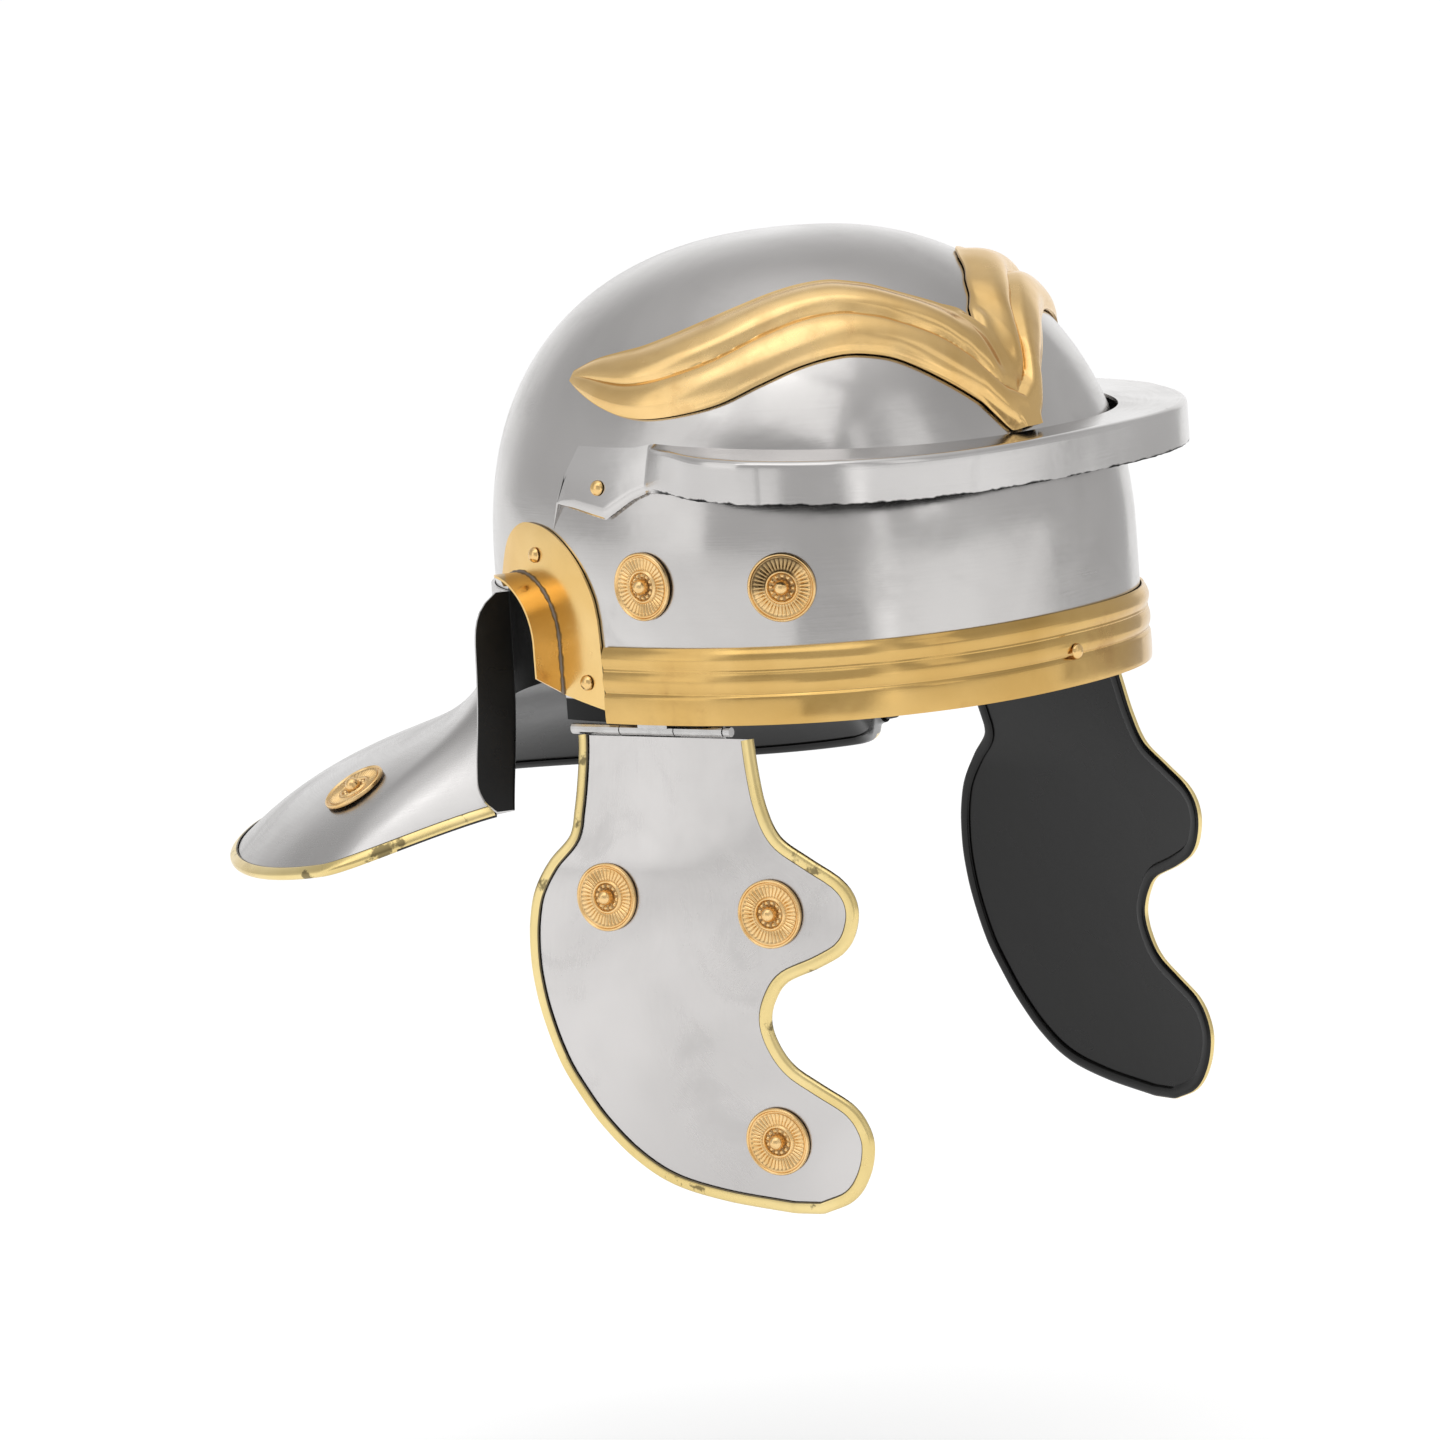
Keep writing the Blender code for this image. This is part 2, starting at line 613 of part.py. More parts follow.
def make_neck_trim(group, material):
    places = neck_places()[1:-1]
    points = [neck_surface(around, 1.0) for around in places]
    inside = [neck_surface(around, NECK_ROWS[-2]) for around in places]
    mesh = loft_mesh("neck_guard_trim", edging(edge_stations(points, inside)))
    return add_object("neck_guard_trim", mesh, material, group)


def hinge_frame(side):
    """Middle of the hinge, its direction towards the rear, and its outward direction."""
    middle = Vector((side * HINGE_OUT, HINGE_MIDDLE, -KNUCKLE_RADIUS - GAP))
    axis = Vector((side * HINGE_TOE_IN, 1, 0)).normalized()
    outward = Vector((side, -HINGE_TOE_IN, 0)).normalized()
    return middle, axis, outward


def cheek_surface(back, height):
    """Middle surface of the left cheek guard as it hangs."""
    x = HINGE_OUT + HINGE_TOE_IN * (back - HINGE_MIDDLE)
    x += CHEEK_TWIST * (back + 0.58 * CHEEK_FRONT) * ease(-height / (0.31 * CHEEK_LENGTH))
    middle = (CHEEK_REAR - CHEEK_FRONT) / 2
    span = (CHEEK_REAR + CHEEK_FRONT) / 2 * 1.3
    above = height / CHEEK_LENGTH + CHEEK_DISH_MIDDLE
    reach = CHEEK_DISH_ABOVE if above > 0 else CHEEK_DISH_BELOW
    upright = max(0.0, 1 - (above / reach) ** 2)
    level = max(0.0, 1 - ((back - middle) / span) ** 2)
    return Vector((x + CHEEK_DISH * upright * level, back, height))


def cheek_point(side, back, height):
    point = cheek_surface(back, height)
    return Vector((side * point.x, point.y, point.z))


def cheek_normal(side, back, height):
    normal = surface_normal(cheek_surface, back, height, 1e-4, 1e-4, Vector((0, 0, height)))
    return Vector((side * normal.x, normal.y, normal.z))


def cheek_edges(depth):
    rear = smooth_read(CHEEK_REAR_EDGE, depth, 1) * CHEEK_REAR
    front = -smooth_read(CHEEK_FRONT_EDGE, depth, 1) * CHEEK_FRONT
    return rear, front


def cheek_depths():
    """Shares of the cheek guard's length where it has a row, closer where its edge turns."""
    top = (2 * KNUCKLE_RADIUS + 2 * GAP) / CHEEK_LENGTH
    return [top, 0.11, 0.19, 0.24, 0.275, 0.315, 0.36, 0.42, 0.46, 0.49, 0.515, 0.55, 0.60, 0.66,
            0.71, 0.75, 0.79, 0.84, 0.89, 0.93, 0.96, 0.985, 1.00]


def make_cheek_guard(name, side, group, material):
    """A dished plate with a scalloped front edge."""
    across = 5
    rows = []
    for depth in cheek_depths():
        rear, front = cheek_edges(depth)
        height = -depth * CHEEK_LENGTH
        rows.append([cheek_point(side, rear + (front - rear) * k / across, height)
                     for k in range(across + 1)])
    return add_sheet(name, rows, STEEL, material, group)


def make_cheek_trim(name, side, group, material):
    """Brass edging from the hinge round the cheek guard and back up to the hinge."""
    rear_run, front_run = [], []
    for depth in cheek_depths():
        rear, front = cheek_edges(depth)
        rear_run.append((rear, -depth * CHEEK_LENGTH, front))
        front_run.append((front, -depth * CHEEK_LENGTH, rear))
    points, inside = [], []
    for back, height, opposite in rear_run + front_run[::-1]:
        points.append(cheek_point(side, back, height))
        beside = back + (opposite - back) * 0.2
        inside.append(cheek_point(side, beside, height + TRIM_COVER))
    mesh = loft_mesh(name, edging(edge_stations(points, inside)))
    return add_object(name, mesh, material, group)


def cylinder_along(name, start, axis, length, radius, sides, material, group):
    """A round bar from a start point along a direction."""
    mesh = bpy.data.meshes.new(name)
    shape = bmesh.new()
    bmesh.ops.create_cone(shape, cap_ends=True, segments=sides, radius1=radius, radius2=radius,
                          depth=length)
    turn = axis.to_track_quat("Z", "Y").to_matrix().to_4x4()
    shape.transform(Matrix.Translation(start + axis * length / 2) @ turn)
    shape.to_mesh(mesh)
    shape.free()
    return add_object(name, mesh, material, group)


def knuckle_spans():
    """Start and length of the three knuckles, from the front of the hinge."""
    outer = HINGE_LENGTH * 0.32
    middle = HINGE_LENGTH - 2 * outer
    start = -HINGE_START
    return ((start, outer - GAP), (start + outer, middle - GAP), (start + outer + middle, outer))


def make_leaf(name, side, spans, leaf_out, strip, group, cutters, material):
    """A hinge leaf: a strip that carries its knuckles, bored for the pin."""
    middle, axis, outward = hinge_frame(side)
    near, far, low, high = strip
    upright = Vector((0, 0, 1))
    if high > 0:
        joint = KNUCKLE_RADIUS * 0.45
        outline = [(near, high), (near, joint), (far, joint), (far, high)]
    else:
        joint = -KNUCKLE_RADIUS * 0.2
        inset = 2 * GAP
        (start_a, size_a), (start_b, size_b) = spans
        end_a, end_b = start_a + size_a - inset, start_b + size_b - inset
        start_a, start_b = start_a + inset, start_b + inset
        rear_edge = cheek_edges((KNUCKLE_RADIUS + GAP - low) / CHEEK_LENGTH)[0] - HINGE_MIDDLE
        end_b = min(end_b, rear_edge - TRIM_COVER - 2 * GAP)
        shoulder = -KNUCKLE_RADIUS - GAP
        outline = [(start_a, low), (start_a, joint), (end_a, joint), (end_a, shoulder),
                   (start_b, shoulder), (start_b, joint), (end_b, joint), (end_b, low)]
    sections = [[middle + axis * a + outward * (leaf_out + shift) + upright * b for a, b in outline]
                for shift in (-LEAF / 2, LEAF / 2)]
    leaf = add_object(name, loft_mesh(name, sections), material, group)
    for k, (start, size) in enumerate(spans):
        knuckle = cylinder_along(f"{name}_knuckle_{k}", middle + axis * start, axis, size,
                                 KNUCKLE_RADIUS, 12, material, cutters)
        hide_cutter(knuckle)
        join = leaf.modifiers.new("knuckle", "BOOLEAN")
        join.operation = "UNION"
        join.object = knuckle
    bore = cylinder_along(f"{name}_bore", middle - axis * HINGE_LENGTH, axis, 2 * HINGE_LENGTH,
                          BORE_RADIUS, 10, material, cutters)
    hide_cutter(bore)
    cut = leaf.modifiers.new("bore", "BOOLEAN")
    cut.operation = "DIFFERENCE"
    cut.object = bore
    return leaf


def make_hinge(word, side, group, cutters, material):
    """Fixed leaf on the bowl, moving leaf behind the cheek guard, and the pin."""
    first, second, third = knuckle_spans()
    middle, axis, outward = hinge_frame(side)
    leaf_out = STEEL / 2 + GAP + LEAF / 2
    bowl_out = BOWL_HALF_WIDTH + GAP + LEAF / 2 - HINGE_OUT
    half_leaf = FIXED_LEAF_WIDTH / 2
    fixed = make_leaf(f"hinge_leaf_{word}", side, (second,), bowl_out,
                      (-half_leaf, half_leaf, 0.0, FIXED_LEAF_HEIGHT), group, cutters, material)
    moving = make_leaf(f"cheek_leaf_{word}", side, (first, third), -leaf_out,
                       (0.0, 0.0, -MOVING_LEAF_DROP, 0.0), group, cutters, material)
    start = -HINGE_START - GAP
    pin = cylinder_along(f"hinge_pin_{word}", middle + axis * (start - PIN_HEAD), axis,
                         third[0] + third[1] - start + PIN_HEAD, PIN_RADIUS, 8, material, group)
    knob = cylinder_along(f"hinge_pin_{word}_head", middle + axis * (start - PIN_HEAD), axis,
                          PIN_HEAD, KNUCKLE_RADIUS * 0.9, 12, material, cutters)
    hide_cutter(knob)
    join = pin.modifiers.new("head", "BOOLEAN")
    join.operation = "UNION"
    join.object = knob
    return fixed, moving, pin


def turned(name, profile, steps, material, group, place, normal):
    """A turned piece that stands on a place with its axis along the normal."""
    mesh = bpy.data.meshes.new(name)
    mesh.from_pydata([(radius, 0, height) for radius, height in profile],
                     [(k, k + 1) for k in range(len(profile) - 1)], [])
    item = add_object(name, mesh, material, group)
    item.location = place
    item.rotation_mode = "QUATERNION"
    item.rotation_quaternion = normal.to_track_quat("Z", "Y")
    screw = item.modifiers.new("turn", "SCREW")
    screw.steps = steps
    screw.render_steps = steps
    screw.use_merge_vertices = True
    screw.merge_threshold = 0.00001
    screw.use_smooth_shade = True
    return item


def rosette_profile():
    """From the boss's top down its side, across the dished plate, over the rim and back underneath."""
    return ((0.0, BOSS_HEIGHT), (0.75 * BOSS_RADIUS, 0.7 * BOSS_HEIGHT),
            (1.1 * BOSS_RADIUS, 0.5 * ROSETTE_RIM), (0.92 * ROSETTE_RADIUS, ROSETTE_RIM),
            (ROSETTE_RADIUS, 0.0), (0.0, 0.0))


def rivet_profile():
    return ((0.0, RIVET_HEIGHT), (0.62 * RIVET_RADIUS, 0.8 * RIVET_HEIGHT), (RIVET_RADIUS, 0.0), (0.0, 0.0))


def add_rosette(name, place, normal, group, material):
    return turned(name, rosette_profile(), 12, material, group, place + normal * GAP, normal)


def add_rivet(name, place, normal, group, material):
    return turned(name, rivet_profile(), 8, material, group, place + normal * GAP, normal)


def make_bowl_rosettes(word, side, group, material):
    for label, back, height in BOWL_ROSETTES:
        angle = side_angle(side, back, height)
        add_rosette(f"bowl_rosette_{label}_{word}", bowl_point(angle, height),
                    bowl_normal(angle, height), group, material)


def make_neck_rosette(word, side, group, material):
    around = side * NECK_ROSETTE_AROUND
    normal = neck_normal(around, NECK_ROSETTE_DOWN)
    place = neck_surface(around, NECK_ROSETTE_DOWN) + normal * STEEL / 2
    add_rosette(f"neck_rosette_{word}", place, normal, group, material)


def make_cheek_rosettes(word, side, group, material):
    made = []
    for label, reach, depth in CHEEK_ROSETTES:
        back = reach * CHEEK_REAR
        height = -depth * CHEEK_LENGTH
        normal = cheek_normal(side, back, height)
        place = cheek_point(side, back, height) + normal * STEEL / 2
        made.append(add_rosette(f"cheek_rosette_{label}_{word}", place, normal, group, material))
    return made


def make_rivets(word, side, group, material):
    """Two on the ear guard and one on the brow guard's tab."""
    ear_front = EAR_MIDDLE - EAR_HALF_WIDTH
    spots = (
        ("ear_rivet_low", ear_front - 0.63 * EAR_PLATE_WIDTH, EAR_PLATE_BOTTOM + EAR_RIVET_RISE, BRASS),
        ("ear_rivet_top", EAR_MIDDLE - 0.5 * EAR_HALF_WIDTH, EAR_TOP + 0.40 * EAR_PLATE_CREST, BRASS),
        ("tab_rivet", TAB_ROOT + 0.5 * TAB_LENGTH, brow_level(TAB_ROOT) - 0.60 * TAB_HEIGHT, STEEL),
    )
    for label, back, height, sheet in spots:
        angle = side_angle(side, back, height)
        add_rivet(f"{label}_{word}", bowl_point(angle, height, GAP + sheet),
                  bowl_normal(angle, height), group, material)


def make_band_rivet(group, material):
    height = 0.46 * BAND_HEIGHT
    proud = max(depth for _, depth in BAND_PROFILE) * BAND_DEPTH + BRASS / 2
    add_rivet("band_rivet", bowl_point(0.0, height, proud), Vector((0, -1, 0)), group, material)


def carry(parent, items):
    for item in items:
        item.parent = parent
        item.matrix_parent_inverse = parent.matrix_world.inverted()


def main():
    clear_scene()
    group = new_collection(HELMET)
    cutters = new_collection("cutters")
    steel = metal("polished_steel", (0.49, 0.47, 0.46), 0.28)
    brass = metal("brass", (0.58, 0.36, 0.09), 0.25)
    trim_brass = metal("trim_brass", (0.55, 0.37, 0.12), 0.32)
    rosette_brass = metal("rosette_brass", (0.60, 0.35, 0.11), 0.35)
    hinge_steel = metal("hinge_steel", (0.45, 0.44, 0.43), 0.33)

    make_bowl(group, cutters, steel)
    make_neck_guard(group, steel)
    make_neck_trim(group, trim_brass)
    make_brow_guard(group, steel)
    make_brow_band(group, brass)
    make_eyebrow_plate(group, brass)
    make_band_rivet(group, brass)
    for word, side in SIDES:
        make_ear_guard(f"ear_guard_{word}", side, group, brass)
        make_bowl_rosettes(word, side, group, rosette_brass)
        make_neck_rosette(word, side, group, rosette_brass)
        make_rivets(word, side, group, brass)

        fixed, moving, pin = make_hinge(word, side, group, cutters, hinge_steel)
        axis_empty = bpy.data.objects.new(f"cheek_axis_{word}", None)
        axis_empty.location = hinge_frame(side)[0]
        group.objects.link(axis_empty)
        bpy.context.view_layer.update()
        hanging = [moving,
                   make_cheek_guard(f"cheek_guard_{word}", side, group, steel),
                   make_cheek_trim(f"cheek_trim_{word}", side, group, trim_brass)]
        hanging += make_cheek_rosettes(word, side, group, rosette_brass)
        carry(axis_empty, hanging)


main()
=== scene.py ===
"""Looks of the Roman legionary helmet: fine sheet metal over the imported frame, and its materials.

Metres, +Z up. The wearer faces -Y and the wearer's right is -X. The shapes follow the same outline
formulas as the solids, with finer steps, rounded folds and stamped detail.
"""

from math import cos, pi, radians, sin, sqrt

import bmesh
import bpy
import numpy as np
from mathutils import Matrix, Vector


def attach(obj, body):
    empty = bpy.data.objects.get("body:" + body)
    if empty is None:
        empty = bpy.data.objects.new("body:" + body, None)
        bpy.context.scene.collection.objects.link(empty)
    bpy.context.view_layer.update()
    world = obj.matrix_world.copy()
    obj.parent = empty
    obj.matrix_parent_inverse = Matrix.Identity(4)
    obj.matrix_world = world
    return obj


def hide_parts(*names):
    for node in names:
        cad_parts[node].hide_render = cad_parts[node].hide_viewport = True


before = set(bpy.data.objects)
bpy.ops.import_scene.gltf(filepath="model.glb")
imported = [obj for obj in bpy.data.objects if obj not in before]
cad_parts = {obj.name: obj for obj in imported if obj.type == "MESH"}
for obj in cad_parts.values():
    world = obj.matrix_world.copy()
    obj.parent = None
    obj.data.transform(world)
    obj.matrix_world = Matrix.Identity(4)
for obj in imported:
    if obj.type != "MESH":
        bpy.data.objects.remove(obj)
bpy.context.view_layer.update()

# Camera: azimuth, elevation and roll in degrees, distance and shift in metres, lens in millimetres
VIEW_AZIMUTH, VIEW_ELEVATION, VIEW_ROLL = -50.3, 7.6, -4.3
VIEW_DISTANCE, VIEW_SIDE, VIEW_UP, VIEW_LENS = 2.42, -0.0397, -0.0141, 178.3

# Floor, and brightness of the surroundings on the camera's side and behind the helmet
FLOOR_HEIGHT, FLOOR_GLOW, FLOOR_REACH = -0.30, 0.34, 40
SKY_NEAR, SKY_BEHIND = 0.66, 1.06
# Brightness of the surroundings by the sine of the elevation
SKY_RISE = ((0.0, 1.0), (0.22, 1.0), (0.45, 0.84), (0.62, 0.80), (0.82, 1.05), (0.94, 1.55), (1.0, 1.65))
# Soft lights: name, angle from the camera, height, distance, width and height, brightness
LIGHTS = (
    ("left_wall", -66, 1.05, 2.2, (1.15, 2.3), 0.62),
    ("right_strip", 24, 0.7, 2.2, (0.30, 2.2), 0.42),
    ("right_wall", 50, 1.2, 2.2, (0.70, 1.7), 0.45),
    ("front_high", -22, 1.90, 1.45, (2.3, 1.0), 0.80),
    ("overhead", 0, 2.3, 0.7, (1.5, 0.9), 0.62),
)
# Cards that only the metal mirrors: name, angle from the camera, distance, width and height, brightness
CARDS = (
    ("front_card", -1, 1.6, (0.94, 1.3), 0.62),
    ("right_card", 120, 1.6, (1.36, 1.3), 0.58),
)

# Sizes in metres, with the names and values of the part's source
STEEL, BRASS, GAP = 0.0012, 0.0008, 0.0004
BOWL_HALF_WIDTH, BOWL_FRONT, BOWL_REAR = 0.1024, 0.0990, 0.1120
BOWL_HEIGHT, BOWL_WALL_HEIGHT, BOWL_SQUARENESS = 0.1540, 0.0440, 2.3
DOME_FULLNESS_FRONT, DOME_FULLNESS_REAR = 2.1, 2.5
EAR_MIDDLE, EAR_HALF_WIDTH, EAR_SPRING, EAR_TOP = 0.0555, 0.0195, 0.0260, 0.0480
EAR_FLANGE, EAR_FLANGE_RISE = 0.0110, 0.0064
EAR_PLATE_BOTTOM, EAR_PLATE_SLOPE, EAR_PLATE_WIDTH, EAR_PLATE_CREST = 0.0040, 0.0047, 0.0205, 0.0165
EAR_PLATE_SHOULDER, EAR_PLATE_LEAN, EAR_RIVET_RISE = 0.0080, 0.0010, 0.0090
EAR_SWEEP = radians(130)
BAND_HEIGHT, BAND_DEPTH, BAND_END_GAP = 0.0250, 0.0022, 0.0010
BROW_HALF_WIDTH, BROW_FRONT, BROW_SQUARENESS = 0.1200, 0.1085, 2.8
BROW_CLEARANCE, BROW_SLOPE, BROW_SKIRT = 0.0013, 0.070, 0.0135
BROW_SIDE_ANGLE, BROW_LEFT_GAP = radians(68), 0.0025
TAB_LENGTH, TAB_ROOT, TAB_HEIGHT, TAB_SWELL = 0.0400, -0.0070, 0.0230, 0.0008
WING_BULGE = 0.0030
EYEBROW_SWEEP, EYEBROW_TURN = radians(109), radians(4.5)
EYEBROW_TILT, EYEBROW_RELIEF = 0.0038, 0.0042
NAPE_TOP, NAPE_EDGE, NAPE_FLANGE = 0.0410, radians(127.5), 0.0130
RIM_CORNER, RIM_CORNER_HEIGHT = (0.1050, 0.0580), -0.0305
RIM_HALF_WIDTH, RIM_WIDEST, RIM_REAR = 0.1460, 0.1090, 0.2220
RIM_FALL, RIM_CROWN = 0.147, 0.0188
NAPE_DROP, NAPE_REAR_DROP, FLARE_DROP, FLARE_REAR_RISE = 0.0050, 0.0200, 0.0120, 0.0140
NECK_BELOW = (0, 0.05, -0.30)   # the neck guard's steel side looks away from here
TRIM_METAL, TRIM_COVER = 0.0006, 0.0032
NECK_ROSETTE_AROUND, NECK_ROSETTE_DOWN = 0.66, 0.76
HINGE_MIDDLE, HINGE_OUT, HINGE_TOE_IN = -0.0040, 0.1018, 0.0485
KNUCKLE_RADIUS = 0.0018
CHEEK_LENGTH, CHEEK_FRONT, CHEEK_REAR = 0.1600, 0.0770, 0.0415
CHEEK_TWIST, CHEEK_DISH = 0.140, 0.0060
CHEEK_DISH_MIDDLE, CHEEK_DISH_ABOVE, CHEEK_DISH_BELOW = 0.53, 0.50, 0.60
ROSETTE_RADIUS, BOSS_RADIUS, BOSS_HEIGHT = 0.0113, 0.0026, 0.0040
RIVET_RADIUS, RIVET_HEIGHT = 0.0026, 0.0017

# Radii of the folds, place and radius of the solder line, and steps of the meshes
NECK_FOLD, BROW_FOLD, EAR_FOLD = 0.0012, 0.0016, 0.0007
SEAM_PLACE, SEAM_RADIUS = 0.0006, 0.00055
TOP_STEPS, FOLD_STEPS, SKIRT_STEPS = 8, 6, 8
CHEEK_TRIM_STEP, CHEEK_TRIM_INSIDE = 0.0016, 0.0020
# The edging's section starts with three points of its lip. From these strips on it is black
EDGING_ARC = 14
EDGING_PAINTED_FROM, EDGING_DARK_FROM = 3 + int(0.66 * EDGING_ARC), 3 + int(0.30 * EDGING_ARC)

# Across the brow band from its lower edge: place and depth as shares
BAND_PROFILE = (
    (0.0, 0.94), (0.04, 1.0), (0.12, 1.04), (0.24, 1.04), (0.33, 1.0), (0.362, 0.93), (0.385, 0.64),
    (0.41, 0.6), (0.44, 0.8), (0.49, 1.01), (0.55, 1.08), (0.61, 1.02), (0.655, 0.86), (0.68, 0.7),
    (0.7, 0.8), (0.722, 0.7), (0.765, 0.9), (0.82, 1.06), (0.875, 1.05), (0.93, 0.84), (0.965, 0.6),
    (1.0, 0.42),
)
# Eyebrow wing from the middle outwards: share of the sweep, lower and upper edge over the height
EYEBROW_EDGES = (
    (0.0, 0.79, 0.558), (0.02, 0.812, 0.558), (0.042, 0.821, 0.562), (0.072, 0.829, 0.598),
    (0.097, 0.838, 0.629), (0.173, 0.861, 0.687), (0.25, 0.883, 0.732), (0.311, 0.893, 0.749),
    (0.374, 0.899, 0.753), (0.458, 0.895, 0.737), (0.537, 0.882, 0.706), (0.614, 0.861, 0.671),
    (0.693, 0.835, 0.652), (0.771, 0.808, 0.644), (0.831, 0.789, 0.651), (0.889, 0.777, 0.669),
    (0.948, 0.763, 0.694), (1.0, 0.739, 0.719),
)
BROW_HEIGHT = EYEBROW_EDGES[0][2] * BOWL_HEIGHT - BROW_CLEARANCE + BROW_SLOPE * BOWL_FRONT
# Where the groove between the wing's two rolls runs: share of the sweep, share across the wing
EYEBROW_GROOVE = (
    (0.0, 0.31), (0.07, 0.41), (0.15, 0.53), (0.25, 0.51), (0.35, 0.53), (0.45, 0.54), (0.57, 0.52),
    (0.65, 0.48), (0.82, 0.44), (1.0, 0.45),
)
# Height of the lower roll from the wing's edge to the groove, and of the upper roll from there on
LOWER_ROLL = (
    (0.0, 0.02), (0.06, 0.12), (0.16, 0.46), (0.32, 0.8), (0.52, 0.97), (0.7, 1.0), (0.82, 0.9),
    (0.91, 0.64), (1.0, 0.34),
)
UPPER_ROLL = (
    (0.0, 0.34), (0.06, 0.58), (0.16, 0.88), (0.32, 1.04), (0.52, 0.94), (0.7, 0.62), (0.84, 0.26),
    (0.92, 0.08), (1.0, 0.02),
)
# Outer edge of the ear plate, as shares of the sweep, of the way back and of the rise to its crest
EAR_PLATE_EDGE = (
    (0.0, 0.0, 0.0), (0.125, 0.03, 0.25), (0.25, 0.11, 0.53), (0.375, 0.225, 0.76), (0.5, 0.365, 0.93),
    (0.625, 0.52, 1.01), (0.75, 0.69, 1.0), (0.875, 0.86, 0.8), (1.0, 0.985, 0.36),
)
# Width of the ear flange as a share, by the share of the sweep
EAR_FLANGE_WIDTHS = ((0.00, 1.00), (0.60, 1.00), (0.70, 0.94), (0.85, 0.46), (1.00, 0.12))
# Cheek guard's edges by the share of its length, as shares of its rear and front reach
CHEEK_REAR_EDGE = (
    (0.0, 0.655), (0.11, 0.605), (0.18, 0.585), (0.23, 0.6), (0.28, 0.775), (0.34, 0.925), (0.4, 0.99),
    (0.46, 1.01), (0.52, 1.0), (0.6, 0.94), (0.7, 0.8), (0.77, 0.635), (0.83, 0.46), (0.9, 0.18),
    (0.95, -0.15), (0.98, -0.6), (1.0, -1.15),
)
CHEEK_FRONT_EDGE = (
    (0.0, 0.54), (0.09, 0.575), (0.17, 0.618), (0.23, 0.685), (0.275, 0.82), (0.315, 0.945), (0.355, 1.0),
    (0.405, 1.0), (0.455, 0.945), (0.487, 0.83), (0.515, 0.69), (0.55, 0.625), (0.6, 0.59), (0.65, 0.612),
    (0.7, 0.68), (0.74, 0.8), (0.78, 0.925), (0.825, 0.985), (0.87, 0.998), (0.93, 0.96), (0.975, 0.88),
    (1.0, 0.75),
)
# Upper and lower edge of the brow guard's tab from its tip to its root, as shares of its height
TAB_EDGES = (
    (0.0, 0.74, 0.79), (0.24, 0.0, 0.87), (0.58, 0.02, 1.0), (0.85, 0.02, 0.72), (1.0, -0.02, 0.62),
)
# Width of the nape's flange as a share, by the share of the way down
NAPE_FLANGE_ROWS = (
    (0.0, 0.35), (0.02, 0.62), (0.05, 0.84), (0.1, 0.97), (0.2, 1.0), (0.8, 1.0), (0.93, 0.78), (1.0, 0.45),
)
# Dome of a rivet from its top outwards: radius and height as shares
RIVET_PROFILE = (
    (0.18, 0.985), (0.36, 0.94), (0.54, 0.85), (0.7, 0.72), (0.83, 0.54), (0.92, 0.34), (0.98, 0.14),
    (1.0, 0.0),
)
# Rosettes: name, then place behind the origin and height, or shares of the cheek guard's rear and length
BOWL_ROSETTES = (("_rear", -0.0040, 0.0455), ("_front", -0.0530, 0.0445))
CHEEK_ROSETTES = (("_rear", 0.255, 0.350), ("_front", -1.175, 0.381), ("_low", -1.085, 0.853))
SOILED_ROSETTE = ("bowl", "_front", -1)
# Rivets: name, place behind the origin, height, and thickness of the sheet over the bowl
RIVETS = (
    ("ear_rivet_low", EAR_MIDDLE - EAR_HALF_WIDTH - 0.63 * EAR_PLATE_WIDTH,
     EAR_PLATE_BOTTOM + EAR_RIVET_RISE, BRASS),
    ("ear_rivet_top", EAR_MIDDLE - 0.5 * EAR_HALF_WIDTH, EAR_TOP + 0.40 * EAR_PLATE_CREST, BRASS),
    ("tab_rivet", TAB_ROOT + 0.5 * TAB_LENGTH,
     BROW_HEIGHT + BROW_SLOPE * TAB_ROOT - 0.60 * TAB_HEIGHT, STEEL + TAB_SWELL),
)
BAND_RIVET_SHARE = 0.46
SIDES = (("right", -1), ("left", 1))


# Shape formulas

def mirrored(point, side):
    return Vector((side * point.x, point.y, point.z))


def oval_point(angle, half_width, length, power, share=1.0):
    """Point of a squarish oval round the origin. The angle is 0 at the front and grows to the left."""
    reach = share / ((abs(sin(angle)) / half_width) ** power
                     + (abs(cos(angle)) / length) ** power) ** (1 / power)
    return Vector((reach * sin(angle), -reach * cos(angle), 0))


def course(points, k):
    """Direction of a line through points at one of them."""
    return (points[min(len(points) - 1, k + 1)] - points[max(0, k - 1)]).normalized()


def smooth_read(table, at, column):
    """Value of a table's column on a smooth curve through its rows."""
    rows = len(table)
    k = 0
    while k < rows - 2 and at > table[k + 1][0]:
        k += 1
    x0, x1 = table[k][0], table[k + 1][0]
    y0, y1 = table[k][column], table[k + 1][column]
    rise = (y1 - y0) / (x1 - x0)
    before, after = rise, rise
    if k > 0:
        before = (y1 - table[k - 1][column]) / (x1 - table[k - 1][0])
    if k < rows - 2:
        after = (table[k + 2][column] - y0) / (table[k + 2][0] - x0)
    t = (at - x0) / (x1 - x0)
    width = x1 - x0
    return ((2 * t**3 - 3 * t**2 + 1) * y0 + (t**3 - 2 * t**2 + t) * width * before
            + (3 * t**2 - 2 * t**3) * y1 + (t**3 - t**2) * width * after)


def straight_read(table, at, column):
    for low, high in zip(table, table[1:]):
        if at <= high[0]:
            share = (at - low[0]) / (high[0] - low[0])
            return low[column] + (high[column] - low[column]) * share
    return table[-1][column]


def ease(t):
    t = min(1.0, max(0.0, t))
    return t * t * (3 - 2 * t)


def surface_normal(surface, a, b, step_a, step_b, away_from):
    """Unit normal of a surface, looking away from a point."""
    along = surface(a + step_a, b) - surface(a - step_a, b)
    across = surface(a, b + step_b) - surface(a, b - step_b)
    normal = along.cross(across).normalized()
    if normal.dot(surface(a, b) - away_from) < 0:
        normal.negate()
    return normal


